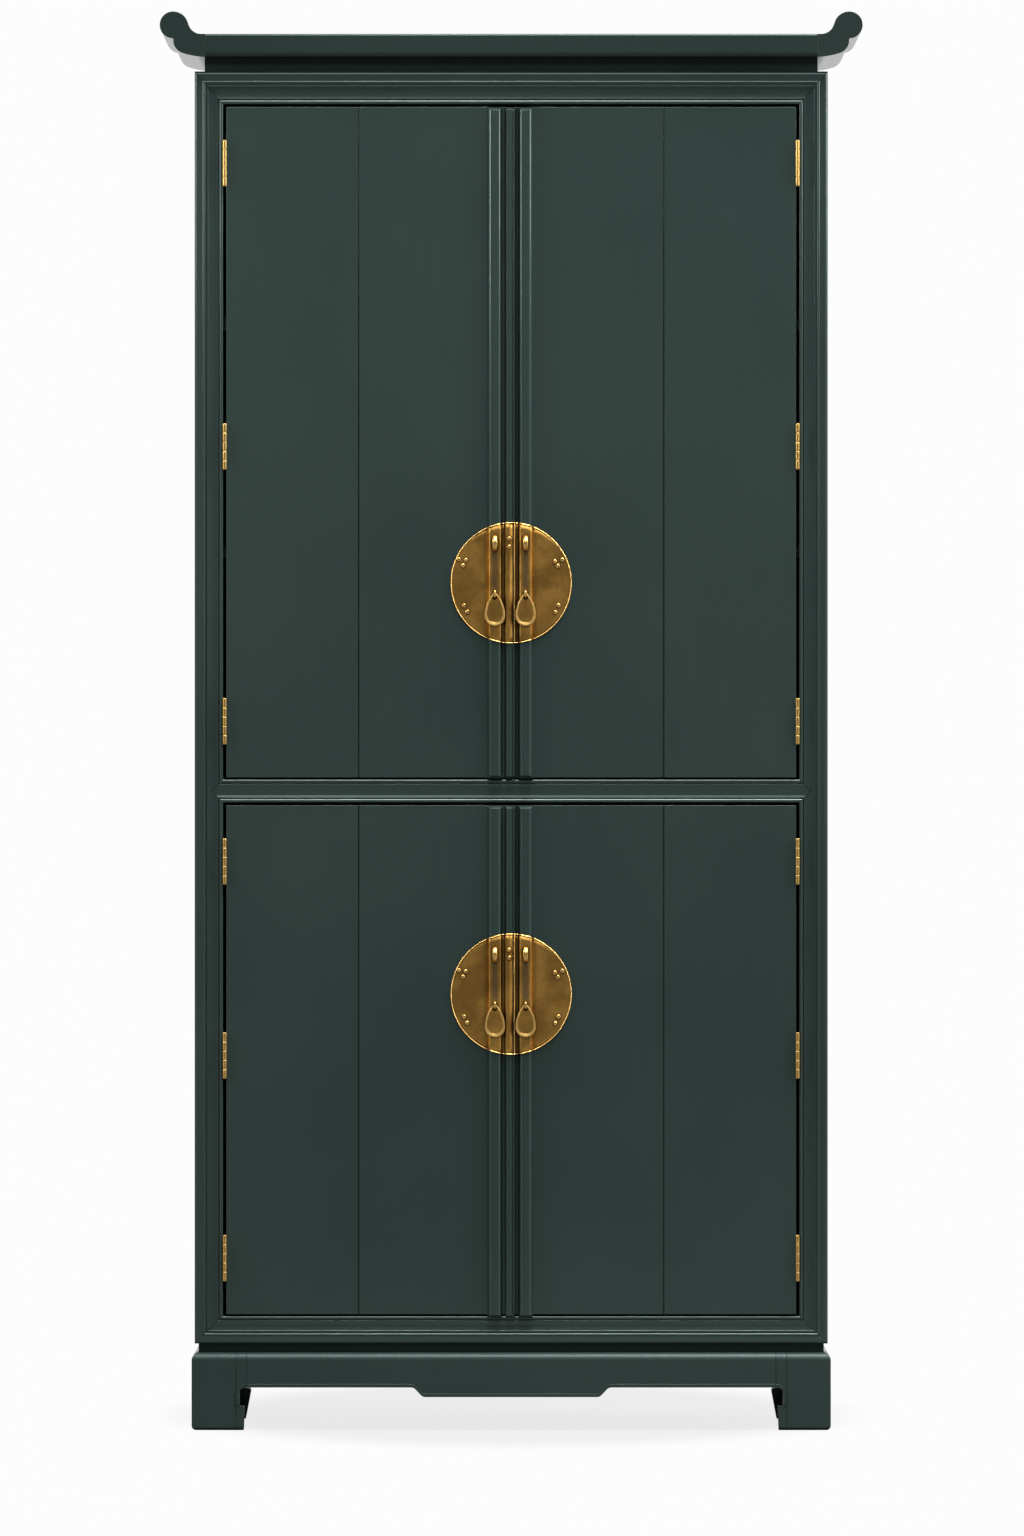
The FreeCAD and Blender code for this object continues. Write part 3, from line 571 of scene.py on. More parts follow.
# %% [markdown]
# ## Dressing the woodwork
# Each solid of the frame keeps its mesh and only gets its finish. Stiles, posts and planks have upright
# grain, rails and aprons have it across, and what runs from front to back has it that way.

# %% Dress the solids
def dress(material, *names):
    for name in names:
        for holder in nodes[name].material_slots:
            holder.material = material
    print(material.name, "on", len(names), "nodes")


dress(lacquer_up, "left_side_panel", "right_side_panel")
dress(lacquer_edges, *[f"{door}_mouldings" for door in door_names])
dress(lacquer_doors, *[f"{door}_{board}" for door in door_names for board in ("outer_board", "inner_board")])
dress(lacquer_stiles, "left_stile", "right_stile")
dress(lacquer_rails, "top_rail", "bottom_rail", "middle_rail")
dress(lacquer_feet, "front_left_foot", "front_right_foot", "rear_left_foot", "rear_right_foot",
      "foot_brackets")
dress(lacquer_aprons, "front_apron", "rear_apron")
dress(lacquer_back, "side_aprons")
dress(lacquer_across, "bottom_panel", "top_panel")
dress(lacquer_neck, "neck_strips")
dress(lacquer_shaded_recess, "waist_strips")
dress(lacquer_cornice, "cornice_board")
dress(lacquer_scrolls, "left_cornice_scroll", "right_cornice_scroll")
dress(inner_up, "back_panel")
dress(inner_across, "middle_partition", "shelves", "shelf_battens")
dress(strike_steel, *[f"{door}_strike" for door in door_names])
dress(catch_plastic, "magnetic_catches")

# %% [markdown]
# ## Trees that grow small metalwork
# Rivets, knuckles, screws and bent bars repeat, so Geometry Nodes make them. A tree is written once with
# named sizes, a seed mesh carries the places, and the grown result becomes a plain mesh that rides on
# its body.

# %% Start and end a tree
def tree_start(name, sizes):
    """New tree: the start of its sums and its named inputs."""
    tree = bpy.data.node_groups.new(name, "GeometryNodeTree")
    tree.interface.new_socket("Seed", in_out="INPUT", socket_type="NodeSocketGeometry")
    for label, kind in sizes.items():
        tree.interface.new_socket(label, in_out="INPUT", socket_type="NodeSocket" + kind)
    tree.interface.new_socket("Grown", in_out="OUTPUT", socket_type="NodeSocketGeometry")
    source = tree.nodes.new("NodeGroupInput")
    return Feed(tree), {socket.name: Feed(tree, socket) for socket in source.outputs if socket.name}


def tree_end(start, geometry, metal):
    """Realize Instances, Set Material and the way out."""
    real = start.node("GeometryNodeRealizeInstances", None, {"Geometry": geometry})
    made = start.node("GeometryNodeSetMaterial", None, {"Geometry": real, "Material": metal})
    way_out = start.tree.nodes.new("NodeGroupOutput")
    made.into(way_out.inputs[0])
    return start.tree


print("trees end in Realize Instances and Set Material")


# %% Run a tree on its places
def seed(name, points, edges=()):
    """Mesh of places, given in millimetres."""
    mesh = bpy.data.meshes.new(name)
    mesh.from_pydata([[value * mm for value in point] for point in points], list(edges), [])
    return mesh


def grow(name, places, tree, values):
    """Runs the tree on the places and leaves a plain mesh at the origin."""
    piece = bpy.data.objects.new(name, places)
    scene.collection.objects.link(piece)
    grower = piece.modifiers.new("grower", "NODES")
    grower.node_group = tree
    for item in tree.interface.items_tree:
        if item.in_out == "INPUT" and item.name in values:
            grower[item.identifier] = values[item.name]
    depsgraph = bpy.context.evaluated_depsgraph_get()
    plain = bpy.data.meshes.new_from_object(piece.evaluated_get(depsgraph))
    piece.modifiers.remove(grower)
    piece.data = plain
    print(name, len(plain.polygons), "faces")
    return piece


print("a place is given in units of", mm, "m")


# %% Name the steps that trees share
def vector(start, x, y, z):
    return start.node("ShaderNodeCombineXYZ", None, {"X": x, "Y": y, "Z": z})


def smooth(geometry):
    return geometry.node("GeometryNodeSetShadeSmooth", None, {"Geometry": geometry})


def placed(geometry, move=(0, 0, 0), turn=(0, 0, 0)):
    return geometry.node("GeometryNodeTransform", None,
                         {"Geometry": geometry, "Translation": move, "Rotation": turn})


def repeated(geometry, points, turn=(0, 0, 0)):
    return geometry.node("GeometryNodeInstanceOnPoints", None,
                         {"Points": points, "Instance": geometry, "Rotation": turn})


def together(*parts):
    return parts[0].node("GeometryNodeJoinGeometry", None, {"Geometry": list(parts)})


print("tree tools ready")

# %% [markdown]
# ## Lock plates
# Each pair of doors carries one round plate, cut in two where the doors meet. The brass is one sheet that
# was hammered down over the reed and the edge bead, so its section is a bent line, and its outline a circle.
# The sheet is a grid: one column for each step along the bent line, with its ends on the circle.

# %% Measure the wood under a plate
door_edge = {-1: -2.0, 1: 3.2}
plate_edge = {-1: -2.1, 1: 4.2}
bead_width = {-1: 10.6, 1: 2.9}
bead_height = 8.0
bead_slope = 0.6
reed_middle = {-1: 24.7, 1: 21.9}
reed_height = 10.0
reed_half = 11.5
crown_half = 7.5
valley_half = 9.9
valley_height = 4.0
flat_start = 14.0


def wood_line(side):
    """The wood under a plate, as (distance from the middle, height over the door)."""
    middle = reed_middle[side]
    foot = door_edge[side] + bead_width[side]
    reed = [(middle + reed_half, 0), (middle + crown_half, reed_height), (middle - crown_half, reed_height),
            (middle - valley_half, valley_height)]
    bead = [(foot - bead_slope, valley_height), (foot - 2 * bead_slope, bead_height),
            (plate_edge[side], bead_height)]
    return [(middle + flat_start, 0)] + reed + bead


print("corners of the wood under a plate:", len(wood_line(-1)))

# %% Bend the sheet over the wood
plate_radius = 92.0
plate_gap = 0.2
plate_sheet = 1.5
bend_radius = 5.0
bend_steps = 6
arc_steps = 22


def lifted(line, height):
    """The line moved off the wood by a height, corners kept."""
    points = [Vector(point) for point in line]
    runs = [(after - before).normalized() for before, after in zip(points, points[1:])]
    lifts = [Vector((run.y, -run.x)) for run in runs]
    result = []
    for point, before, after in zip(points, [lifts[0]] + lifts, lifts + [lifts[-1]]):
        mean = (before + after).normalized()
        result.append(point + mean * (height / mean.dot(before)))
    return result


def bent(line, radius):
    """The line with its corners rounded, as a sheet bends."""
    result = [line[0]]
    for before, corner, after in zip(line, line[1:], line[2:]):
        back = before - corner
        ahead = after - corner
        turn = math.pi - back.angle(ahead)
        cut = min(radius * math.tan(turn / 2), 0.45 * back.length, 0.45 * ahead.length)
        start = corner + back.normalized() * cut
        end = corner + ahead.normalized() * cut
        for step in range(bend_steps + 1):
            share = step / bend_steps
            result.append(start.lerp(corner, share).lerp(corner.lerp(end, share), share))
    return result + [line[-1]]


def plate_columns(side, height, radius):
    """Columns of a plate's face: (distance, height, half length) from the outer edge to the meeting edge."""
    flat_end = math.acos((reed_middle[side] + flat_start) / plate_radius)
    turns = [flat_end * (step + 1) / arc_steps for step in range(arc_steps - 1)]
    columns = [(plate_radius * math.cos(turn), height) for turn in turns]
    columns += [tuple(point) for point in bent(lifted(wood_line(side), height), radius)]
    return [(distance, lift, math.sqrt(plate_radius ** 2 - distance ** 2)) for distance, lift in columns]


print("plate columns:", len(plate_columns(-1, plate_gap + plate_sheet, bend_radius)))


# %% Turn points into a piece
def make_piece(name, points, faces, material, body):
    """Smooth mesh from points in millimetres, riding on its body."""
    mesh = bpy.data.meshes.new(name)
    mesh.from_pydata([[value * mm for value in point] for point in points], [], faces)
    mesh.materials.append(material)
    mesh.shade_smooth()
    mesh.update()
    piece = bpy.data.objects.new(name, mesh)
    scene.collection.objects.link(piece)
    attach(piece, body)
    print(name, len(faces), "faces")
    return piece


print("pieces are smooth, and ride on a body")

# %% Write the grid of a plate
door_face = -252.5
plate_rows = 18


def plate_face(side, centre, height, radius):
    """Grid of points of one face of a plate."""
    points = []
    for index, (distance, lift, half) in enumerate(plate_columns(side, height, radius)):
        for row in range(plate_rows + 1):
            share = 2 * row / plate_rows - 1
            out = distance
            if index == 0:
                out = math.sqrt(plate_radius ** 2 - (half * share) ** 2)
            points.append((side * out, door_face - lift, centre + half * share))
    return points


def plate_walls(columns, side):
    """Faces of a closed sheet made of a front and a back grid."""
    width = plate_rows + 1
    count = columns * width
    faces = []
    for column in range(columns - 1):
        for row in range(plate_rows):
            low = column * width + row
            quad = (low, low + width, low + width + 1, low + 1)
            faces.append(quad)
            faces.append(tuple(count + point for point in reversed(quad)))
    rim = [column * width for column in range(columns)]
    rim += [(columns - 1) * width + row for row in range(1, width)]
    rim += [column * width + plate_rows for column in range(columns - 2, -1, -1)]
    rim += [row for row in range(plate_rows - 1, 0, -1)]
    for start, end in zip(rim, rim[1:] + rim[:1]):
        faces.append((end, start, count + start, count + end))
    return faces if side < 0 else [tuple(reversed(face)) for face in faces]


print("rows of a plate:", plate_rows)

# %% Form the plates
doors = {}
for door in door_names:
    side = -1 if "left" in door else 1
    low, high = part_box(f"{door}_lock_plate")
    doors[door] = (side, (low.z + high.z) / 2 / mm)
    centre = doors[door][1]
    front = plate_face(side, centre, plate_gap + plate_sheet, bend_radius)
    back = plate_face(side, centre, plate_gap, bend_radius - plate_sheet)
    walls = plate_walls(len(front) // (plate_rows + 1), side)
    plate = make_piece(f"{door}_plate", front + back, walls, plate_brass, f"{door}_door")
    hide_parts(f"{door}_lock_plate")

# %% [markdown]
# ## Rims and bent bars
# A bright rim runs round each half plate, and a thin one down the straight edge of the right half.
# The loop for a lock is a thick bar bent to a ring, and the pull hangs in a small staple.
# All are a section carried along a path, which is what Curve to Mesh does.
# The path is a row of points, and the tree turns it to a curve and sweeps a rounded bar along it.

# %% Write the tree for a swept bar
def bar_tree():
    start, sizes = tree_start("swept_bar", {"Width": "Float", "Thickness": "Float", "Rounding": "Float",
                                            "Across": "Vector", "Metal": "Material"})
    path = start.node("GeometryNodeMeshToCurve", None, {"Mesh": sizes["Seed"]})
    path = start.node("GeometryNodeSetCurveNormal", {"mode": "FREE"},
                      {"Curve": path, "Normal": sizes["Across"]})
    section = start.node("GeometryNodeCurvePrimitiveQuadrilateral", None,
                         {"Width": sizes["Width"], "Height": sizes["Thickness"]})
    section = start.node("GeometryNodeFilletCurve", {"mode": "POLY"},
                         {"Curve": section, "Count": 4, "Radius": sizes["Rounding"], "Limit Radius": True})
    bar = start.node("GeometryNodeCurveToMesh", None,
                     {"Curve": path, "Profile Curve": section, "Fill Caps": True})
    return tree_end(start, smooth(bar), sizes["Metal"])


swept_bar = bar_tree()


def bend_bar(name, path, width, thickness, rounding, across, body):
    """Bar of bright brass along a path, riding on its body; sizes in millimetres."""
    chain = [(index, index + 1) for index in range(len(path) - 1)]
    bar = grow(name, seed("bar_path", path, chain), swept_bar, {
        "Width": width * mm, "Thickness": thickness * mm, "Rounding": rounding * mm,
        "Across": across, "Metal": rim_brass})
    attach(bar, body)
    return bar


print("tree:", swept_bar.name)

# %% Roll the rims of the plates
rim_width = 1.9
rim_height = 1.5
edge_width = 0.7
to_back = (0.0, 1.0, 0.0)


def rim_path(side, centre):
    """Line just inside the round edge of a half plate, from the top round to the bottom."""
    inset = rim_width / 2
    radius = plate_radius - inset
    height = plate_gap + plate_sheet
    upper = []
    for distance, lift, _ in plate_columns(side, height, bend_radius):
        distance = max(min(distance, radius - 0.01), plate_edge[side])
        upper.append((side * distance, door_face - lift, math.sqrt(radius ** 2 - distance ** 2)))
    lower = [(x, y, -z) for x, y, z in upper]
    tip = (side * radius, door_face - height, 0)
    return [(x, y, centre + z) for x, y, z in upper[::-1] + [tip] + lower]


def edge_path(side, centre):
    """Line along the straight edge, where the doors meet."""
    x = side * (plate_edge[side] + edge_width / 2)
    y = door_face - bead_height - plate_gap - plate_sheet
    return [(x, y, centre + rise) for rise in (plate_radius - rim_width, rim_width - plate_radius)]


for door, (side, centre) in doors.items():
    rim = rim_path(side, centre)
    bend_bar(f"{door}_plate_rim", rim, rim_width, rim_height, rim_height / 2, to_back, f"{door}_door")
    if side > 0:
        edge = edge_path(side, centre)
        bend_bar(f"{door}_plate_edge", edge, edge_width, edge_width, edge_width / 2, to_back, f"{door}_door")

# %% Bend the loops and staples
crown_face = door_face - reed_height - plate_gap - plate_sheet
loop_rise = 60.0
loop_lead = 3.8
loop_bend = 7.9
loop_half_turn = math.radians(128)
loop_steps = 28
loop_bar = (8, 7.6, 2.6)
pull_drop = 17.5
staple_root = 0.8
staple_reach = 7.6
staple_up = 4.9
staple_down = 3.5
staple_bend = 3.0
staple_bar = (3.2, 3.2, 1.2)
sideways = (1.0, 0.0, 0.0)


def loop_path(x, level):
    """Most of a circle standing out of the plate, its ends let into it."""
    end = loop_half_turn
    turns = [-end + 2 * end * step / loop_steps for step in range(loop_steps + 1)]
    return [(x, crown_face - loop_lead - loop_bend * math.cos(turn), level + loop_bend * math.sin(turn))
            for turn in turns]


def staple_path(x, pivot):
    """Two legs out of the plate, joined by a short front."""
    root = crown_face + staple_root
    front = crown_face - staple_reach
    top = pivot + staple_up
    foot = pivot - staple_down
    corners = [Vector(corner) for corner in ((root, top), (front, top), (front, foot), (root, foot))]
    return [(x, y, z) for y, z in bent(corners, staple_bend)]


for door, (side, centre) in doors.items():
    x = side * reed_middle[side]
    loop = loop_path(x, centre + loop_rise)
    ring_piece = bend_bar(f"{door}_loop", loop, *loop_bar, sideways, f"{door}_door")
    legs = staple_path(x, centre - pull_drop)
    bend_bar(f"{door}_staple", legs, *staple_bar, sideways, f"{door}_door")
    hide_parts(f"{door}_loop_and_staple")

# %% [markdown]
# ## Rivets
# Small domed rivets hold the plates, three and two at the sides and two on the wider bead. Each dome has the
# mark of the punch that set it. The tree flattens a ball, dents its top, and sets one on each seed point.
# A second, smaller tree lays a thin dark disc under each head, as a painted shadow ring round the rivet.

# %% Write the trees for rivets
def rivet_tree():
    start, sizes = tree_start("punched_rivets", {"Radius": "Float", "Height": "Float", "Punch": "Float",
                                                 "Metal": "Material"})
    ball = start.node("GeometryNodeMeshUVSphere", None,
                      {"Segments": 18, "Rings": 12, "Radius": sizes["Radius"]})
    place = start.node("GeometryNodeInputPosition")
    level = vector(start, 1.0, 1.0, 0.0)
    plan = start.node("ShaderNodeVectorMath", {"operation": "MULTIPLY"}, {0: place, 1: level})
    away = start.node("ShaderNodeVectorMath", {"operation": "LENGTH"}, {0: plan}, out="Value")
    dent = 1 - eased(away, 0.0, sizes["Radius"] * 0.5)
    squashed = vector(start, 1.0, 1.0, sizes["Height"] / sizes["Radius"])
    dome = start.node("GeometryNodeTransform", None, {"Geometry": ball, "Scale": squashed})
    dome = start.node("GeometryNodeSetPosition", None, {
        "Geometry": dome, "Offset": vector(start, 0.0, 0.0, 0 - dent * sizes["Punch"])})
    heads = repeated(smooth(dome), sizes["Seed"], (math.radians(90), 0, 0))
    return tree_end(start, heads, sizes["Metal"])


def shade_disc_tree():
    start, sizes = tree_start("rivet_shade_discs", {"Radius": "Float", "Height": "Float", "Metal": "Material"})
    disc = start.node("GeometryNodeMeshCylinder", None, {
        "Vertices": 20, "Radius": sizes["Radius"], "Depth": sizes["Height"]})
    shade_discs = repeated(disc, sizes["Seed"], (math.radians(90), 0, 0))
    return tree_end(start, shade_discs, sizes["Metal"])


punched_rivets = rivet_tree()
rivet_shade_discs = shade_disc_tree()
print("trees:", punched_rivets.name, rivet_shade_discs.name)

# %% Set the rivets
side_rivets = {-1: [(-79.6, 35.8), (-68.8, 34.4), (-72.9, 26.2), (-71.4, -34.4), (-66.4, -44.0)],
               1: [(77.5, 35.0), (66.0, 32.4), (70.8, 25.5), (71.7, -34.4), (66.7, -44.4)]}
bead_rivets = {-1: [(-3.0, 67.0), (-3.0, 54.7)], 1: []}
flat_front = door_face - plate_gap - plate_sheet
for door, (side, centre) in doors.items():
    spots = [(x, flat_front, centre + z) for x, z in side_rivets[side]]
    spots += [(x, flat_front - bead_height, centre + z) for x, z in bead_rivets[side]]
    rivets = grow(f"{door}_rivets", seed("rivet_spots", spots), punched_rivets, {
        "Radius": 3.5 * mm, "Height": 2.2 * mm, "Punch": 0.7 * mm, "Metal": rim_brass})
    # A dark disc under each rivet is a painted shadow ring.
    shade_discs = grow(f"{door}_rivet_shade_discs", seed("shade_disc_spots", spots), rivet_shade_discs, {
        "Radius": 4.6 * mm, "Height": 0.24 * mm, "Metal": painted_shade_brass})
    for piece in (rivets, shade_discs):
        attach(piece, f"{door}_door")

# %% [markdown]
# ## Teardrop pulls
# A pull is a thin sheet inside a cast rim. The rim is a thin wire at the top, where it hangs in the staple,
# and swells to a double roll at the bottom, where the hand takes it. The outline is four arcs that meet
# smoothly, so one angle, the way the edge faces, is enough to walk round it.

# %% Draw the outline of a pull
pull_height = 50.0
pull_top = 1.6
tip_radius = 5.6
bowl_radius = 15.5
flank_radius = 55.0


def teardrop():
    """Right half of the outline, from the top down: (place, way it faces), about the pivot."""
    tip = pull_top - tip_radius
    bowl = pull_top - pull_height + bowl_radius
    span = tip - bowl
    to_tip = flank_radius - tip_radius
    to_bowl = flank_radius - bowl_radius
    below = (to_tip ** 2 - to_bowl ** 2 + span ** 2) / (2 * span)
    aside = math.sqrt(to_tip ** 2 - below ** 2)
    flank = tip - below
    high = math.atan2(below, aside)
    low = math.atan2(bowl - flank, aside)
    arcs = [((0, tip), tip_radius, math.pi / 2, high, 10), ((-aside, flank), flank_radius, high, low, 16),
            ((0, bowl), bowl_radius, low, -math.pi / 2, 16)]
    outline = []
    for middle, radius, start, end, steps in arcs:
        for step in range(steps):
            turn = start + (end - start) * step / steps
            facing = Vector((math.cos(turn), math.sin(turn)))
            outline.append((Vector(middle) + facing * radius, facing))
    return outline


def whole_outline():
    """Outline all the way round, clockwise from the top."""
    right = teardrop()
    bottom = (Vector((0, pull_top - pull_height)), Vector((0, -1)))
    left = [(Vector((-place.x, place.y)), Vector((-facing.x, facing.y)))
            for place, facing in reversed(right[1:])]
    return right + [bottom] + left


print("points round a pull:", len(whole_outline()))

# %% Shape the rim of a pull
thin_roll = 1.2
roll_swell = 3.0
inner_roll = 1.6


def roll_width(level):
    """Width of the outer roll, which grows towards the bottom."""
    share = (pull_top - level) / pull_height
    return thin_roll + roll_swell * share ** 3


def rim_section(outer):
    """Front of the rim as (distance in from the edge, height), outer roll then inner roll."""
    crest = min(1.55, 0.7 + 0.22 * outer)
    first_roll = [(0, 0), (0.1, 0.5), (0.28, 0.85), (0.5, 1.0), (0.75, 0.85), (1, 0.45)]
    second_roll = [(0.2, 0.8), (0.5, 1.0), (0.8, 0.85), (1, 0.35)]
    front = [(share * outer, lift * crest) for share, lift in first_roll]
    front += [(outer + share * inner_roll, lift) for share, lift in second_roll]
    back = [(distance, -lift) for distance, lift in reversed(front[1:])]
    return front + back


print("points round its rim:", len(rim_section(1.0)))

# %% Cast a pull
sheet_half = 0.6
hole_middle = -4.3
hole_radius = 4.0
hole_start = 196
hole_sweep = 148
hole_steps = 14


def pull_points(x, y, z):
    """Points and faces of the rim and the sheet of one pull hung at x, y, z."""
    outline = whole_outline()
    points = []
    for place, facing in outline:
        for distance, lift in rim_section(roll_width(place.y)):
            spot = place - facing * distance
            points.append((x + spot.x, y - lift, z + spot.y))
    size = len(rim_section(1.0))
    count = len(outline)
    faces = []
    for index in range(count):
        near = index * size
        far = (index + 1) % count * size
        for step in range(size):
            ahead = (step + 1) % size
            faces.append((near + ahead, far + ahead, far + step, near + step))
    inner = [place - facing * (roll_width(place.y) + 0.7 * inner_roll) for place, facing in outline]
    sheet = [spot for spot in inner if spot.y < hole_middle - 0.8]
    hole_turns = [math.radians(hole_start + hole_sweep * step / hole_steps)
                  for step in range(hole_steps + 1)]
    sheet += [Vector((hole_radius * math.cos(turn), hole_middle + hole_radius * math.sin(turn)))
              for turn in hole_turns]
    first = len(points)
    points += [(x + spot.x, y - sheet_half, z + spot.y) for spot in sheet]
    points += [(x + spot.x, y + sheet_half, z + spot.y) for spot in sheet]
    front = [first + index for index in range(len(sheet))]
    faces.append(tuple(reversed(front)))
    faces.append(tuple(index + len(sheet) for index in front))
    for start, end in zip(front, front[1:] + front[:1]):
        faces.append((start, end, end + len(sheet), start + len(sheet)))
    return points, faces


print("faces of a pull:", len(pull_points(0, 0, 0)[1]))

# %% Hang the pulls
for joint in frame["joints"]:
    if not joint["name"].endswith("pull_lift"):
        continue
    points, faces = pull_points(*[value / mm for value in joint["pos_m"]])
    hung = make_piece(joint["child"] + "_drop", points, faces, pull_brass, joint["child"])
    hung.data.materials.append(plate_brass)
    rim_faces = len(whole_outline()) * len(rim_section(1.0))
    for face in hung.data.polygons[rim_faces:]:
        face.material_index = 1
        face.use_smooth = False
    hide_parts(joint["child"])

# %% [markdown]
# ## Screws
# Countersunk screws hold the hinge leaves, the strikes and the back. A slotted head is two half moons with a
# gap between them, lying on a disc that is the bottom of the slot. It is a few dozen faces, because it is
# used often.

# %% Write the tree for screws
def slotted_head(start, radius, height, slot):
    """Screw head lying on its plane."""
    corner = start.maths("ARCSINE", slot / (radius * 2))
    arc = start.node("GeometryNodeCurveArc", None, {
        "Resolution": 11, "Radius": radius, "Start Angle": corner, "Sweep Angle": math.pi - corner * 2})
    arc = start.node("GeometryNodeSetSplineCyclic", None, {"Geometry": arc, "Cyclic": True})
    moon = start.node("GeometryNodeFillCurve", {"mode": "NGONS"}, {"Curve": arc})
    raised = start.node("GeometryNodeExtrudeMesh", None, {"Mesh": moon, "Offset Scale": height})
    under = start.node("GeometryNodeFlipFaces", None, {"Mesh": moon})
    half = start.node("GeometryNodeMergeByDistance", None, {
        "Geometry": together(raised, under), "Distance": 0.001 * mm})
    disc = start.node("GeometryNodeMeshCylinder", None, {"Vertices": 20, "Radius": radius, "Depth": height})
    sunk = placed(disc, vector(start, 0.0, 0.0, height * -0.2))
    return together(half, placed(half, turn=(0, 0, math.pi)), sunk)


def screw_tree():
    start, sizes = tree_start("slotted_screws", {"Radius": "Float", "Height": "Float", "Slot": "Float",
                                                 "Turn": "Rotation", "Metal": "Material"})
    head = slotted_head(start, sizes["Radius"], sizes["Height"], sizes["Slot"])
    return tree_end(start, repeated(head, sizes["Seed"], sizes["Turn"]), sizes["Metal"])


slotted_screws = screw_tree()
print("tree:", slotted_screws.name)

# %% [markdown]
# ## Butt hinges
# Twelve brass butt hinges hang the doors. Each has five knuckles: three on the frame's leaf and two on the
# door's. A knuckle is a short rolled barrel with eased ends. One tree makes half a hinge, and the seed
# points are the middles of its hinges on the axis, so each door has its halves and the frame has the others.

# %% Write the tree for half a hinge
screw_pitch = 24.0
screw_height = 0.3
screw_slot = 0.8


def hinge_tree():
    start, sizes = tree_start("half_hinge", {
        "Knuckles": "Int", "Lowest": "Float", "Pitch": "Float",
        "Knuckle Length": "Float", "Knuckle Radius": "Float",
        "Leaf Place": "Vector", "Leaf Size": "Vector", "Tab Place": "Vector", "Tab Size": "Vector",
        "Screw Place": "Vector", "Screw Turn": "Rotation", "Screw Radius": "Float", "Metal": "Material"})
    half = sizes["Knuckle Length"] * 0.5
    axis = start.node("GeometryNodeCurvePrimitiveLine", None, {
        "Start": vector(start, 0.0, 0.0, 0 - half), "End": vector(start, 0.0, 0.0, half)})
    axis = start.node("GeometryNodeResampleCurve", None, {"Curve": axis, "Count": 19})
    share = start.node("GeometryNodeSplineParameter", out="Factor")
    end = start.maths("POWER", start.maths("ABSOLUTE", share * 2 - 1), 14.0)
    girth = start.node("GeometryNodeCurvePrimitiveCircle", None, {
        "Resolution": 20, "Radius": sizes["Knuckle Radius"]})
    barrel = start.node("GeometryNodeCurveToMesh", None, {
        "Curve": axis, "Profile Curve": girth, "Scale": 1 - end * 0.16, "Fill Caps": True})
    levels = start.node("GeometryNodeMeshLine", None, {
        "Count": sizes["Knuckles"], "Start Location": vector(start, 0.0, 0.0, sizes["Lowest"]),
        "Offset": vector(start, 0.0, 0.0, sizes["Pitch"] * 2)})
    tab, leaf = [placed(start.node("GeometryNodeMeshCube", None, {"Size": sizes[f"{part} Size"]}),
                        sizes[f"{part} Place"]) for part in ("Tab", "Leaf")]
    rows = start.node("GeometryNodeMeshLine", None, {
        "Count": 3, "Start Location": sizes["Screw Place"], "Offset": (0, 0, screw_pitch * mm)})
    head = slotted_head(start, sizes["Screw Radius"], screw_height * mm, screw_slot * mm)
    heads = repeated(head, rows, sizes["Screw Turn"])
    one = together(repeated(smooth(barrel), levels), repeated(tab, levels), leaf, heads)
    return tree_end(start, repeated(one, sizes["Seed"]), sizes["Metal"])


half_hinge = hinge_tree()
print("tree:", half_hinge.name)

# %% Hang the hinges
hinge_axis = (434.5, -256.1)
hinge_length = 70.0
knuckle_pitch = 14.0
knuckle_length = 13.7
knuckle_radius = 3.25
leaf_sheet = 1.6
leaf_offset = 1.7
leaf_middle = 12.125
leaf_depth = 16.95
tab_middle = 2.45
tab_depth = 2.9
screw_line = 12.5
hinge_levels = {"upper": (1074.5, 1491.25, 1921.0), "lower": (260.5, 567.75, 862.0)}


def hinge_half(name, side, levels, first, body):
    """Leaves, knuckles and screws of one side of a row of hinges; first is 0 on the frame, 1 on a door."""
    count = 3 - first
    lowest = -hinge_length / 2 + (first + 0.5) * knuckle_pitch
    outward = side * (1 - 2 * first)
    leaf_x = outward * leaf_offset
    screw_x = leaf_x - outward * leaf_sheet / 2
    axis = [(side * hinge_axis[0], hinge_axis[1], level) for level in levels]
    values = {
        "Knuckles": count, "Lowest": lowest * mm, "Pitch": knuckle_pitch * mm,
        "Knuckle Length": knuckle_length * mm, "Knuckle Radius": knuckle_radius * mm,
        "Leaf Place": (leaf_x * mm, leaf_middle * mm, 0.0),
        "Leaf Size": (leaf_sheet * mm, leaf_depth * mm, hinge_length * mm),
        "Tab Place": (leaf_x * mm, tab_middle * mm, 0.0),
        "Tab Size": (leaf_sheet * mm, tab_depth * mm, knuckle_length * mm),
        "Screw Place": (screw_x * mm, screw_line * mm, -screw_pitch * mm),
        "Screw Turn": (0.0, -outward * math.pi / 2, 0.0), "Screw Radius": 2.8 * mm, "Metal": rim_brass}
    piece = grow(name, seed("hinge_middles", axis), half_hinge, values)
    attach(piece, body)
    return piece


for side, hand in ((-1, "left"), (1, "right")):
    every_level = hinge_levels["upper"] + hinge_levels["lower"]
    fixed_half = hinge_half(f"{hand}_frame_hinges", side, every_level, 0, "case")
    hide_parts("frame_hinge_leaves")
    for storey, levels in hinge_levels.items():
        door = f"{storey}_{hand}"
        swung_half = hinge_half(f"{door}_hinges", side, levels, 1, f"{door}_door")
        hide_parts(f"{door}_hinge_leaves")

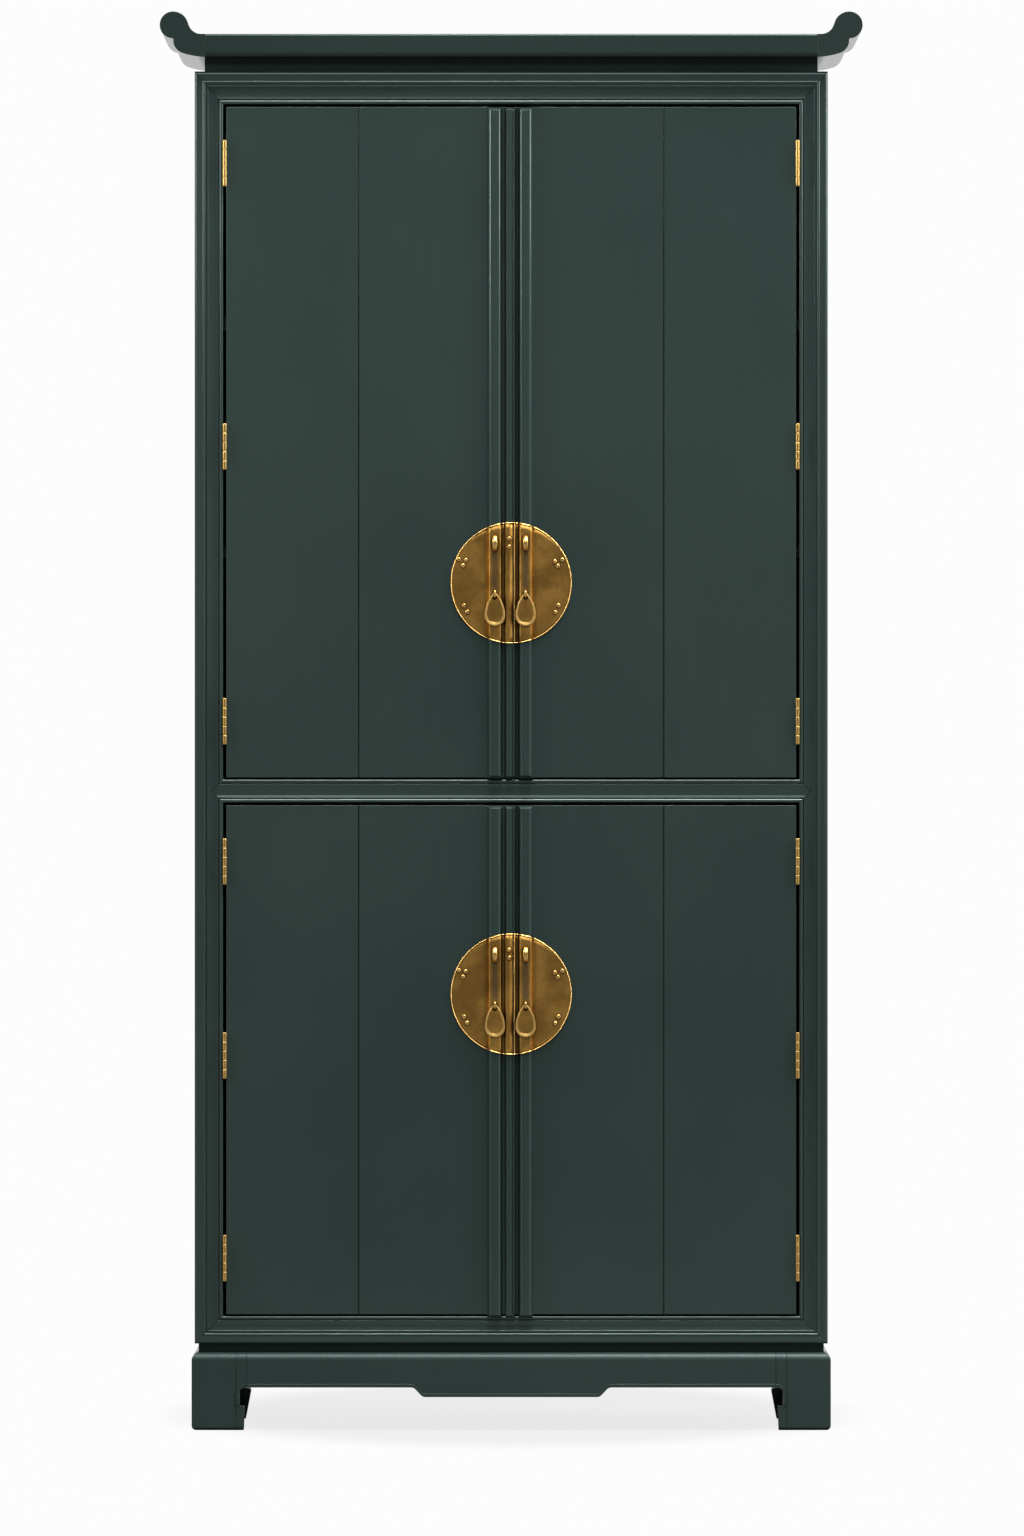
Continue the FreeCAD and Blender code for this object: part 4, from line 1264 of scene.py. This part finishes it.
# %% [markdown]
# ## Back, strikes and catches
# The back is screwed into its rebate all round, each strike has two small screws, and a magnetic catch shows
# the two steel poles that meet the strike. They are seen only when the hutch is turned or opened.

# %% Drive the screws
back_face = 278.0
back_inset = 12
back_columns = 7
back_rows = 13
strike_inset = 5 * mm


def drive_screws(name, spots, radius, height, slot, body):
    """Steel screws with their heads to the back, riding on a body; sizes in millimetres."""
    screws = grow(name, seed("screw_spots", spots), slotted_screws, {
        "Radius": radius * mm, "Height": height * mm, "Slot": slot * mm,
        "Turn": (-math.pi / 2, 0.0, 0.0), "Metal": strike_steel})
    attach(screws, body)


def spread(start, end, count):
    return [start + (end - start) * index / (count - 1) for index in range(count)]


back_low, back_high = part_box("back_panel")
side_x = back_high.x / mm - back_inset
end_levels = (back_low.z / mm + back_inset, back_high.z / mm - back_inset)
back_spots = [(x, back_face, z) for z in end_levels for x in spread(-side_x, side_x, back_columns)]
back_spots += [(x, back_face, z) for x in (-side_x, side_x) for z in spread(*end_levels, back_rows)[1:-1]]
drive_screws("back_screws", back_spots, 3.6, 1.0, 1.0, "case")

for door in door_names:
    low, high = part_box(f"{door}_strike")
    level = (low.z + high.z) / 2 / mm
    spots = [(x / mm, high.y / mm, level) for x in (low.x + strike_inset, high.x - strike_inset)]
    drive_screws(f"{door}_strike_screws", spots, 2.2, 0.25, 0.7, f"{door}_door")


# %% Set the poles of the catches
def pole_tree():
    start, sizes = tree_start("catch_poles", {"Size": "Vector", "Metal": "Material"})
    pole = start.node("GeometryNodeMeshCube", None, {"Size": sizes["Size"]})
    return tree_end(start, repeated(pole, sizes["Seed"]), sizes["Metal"])


catch_face = -231.0
pole_rise = 4
pole_spots = []
for door in door_names:
    low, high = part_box(f"{door}_strike")
    middle = (low + high) / 2 / mm
    pole_spots += [(middle.x, catch_face, middle.z + rise) for rise in (-pole_rise, pole_rise)]
poles = grow("catch_poles", seed("pole_spots", pole_spots), pole_tree(), {
    "Size": (34 * mm, 0.4 * mm, 2.4 * mm), "Metal": strike_steel})
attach(poles, "case")
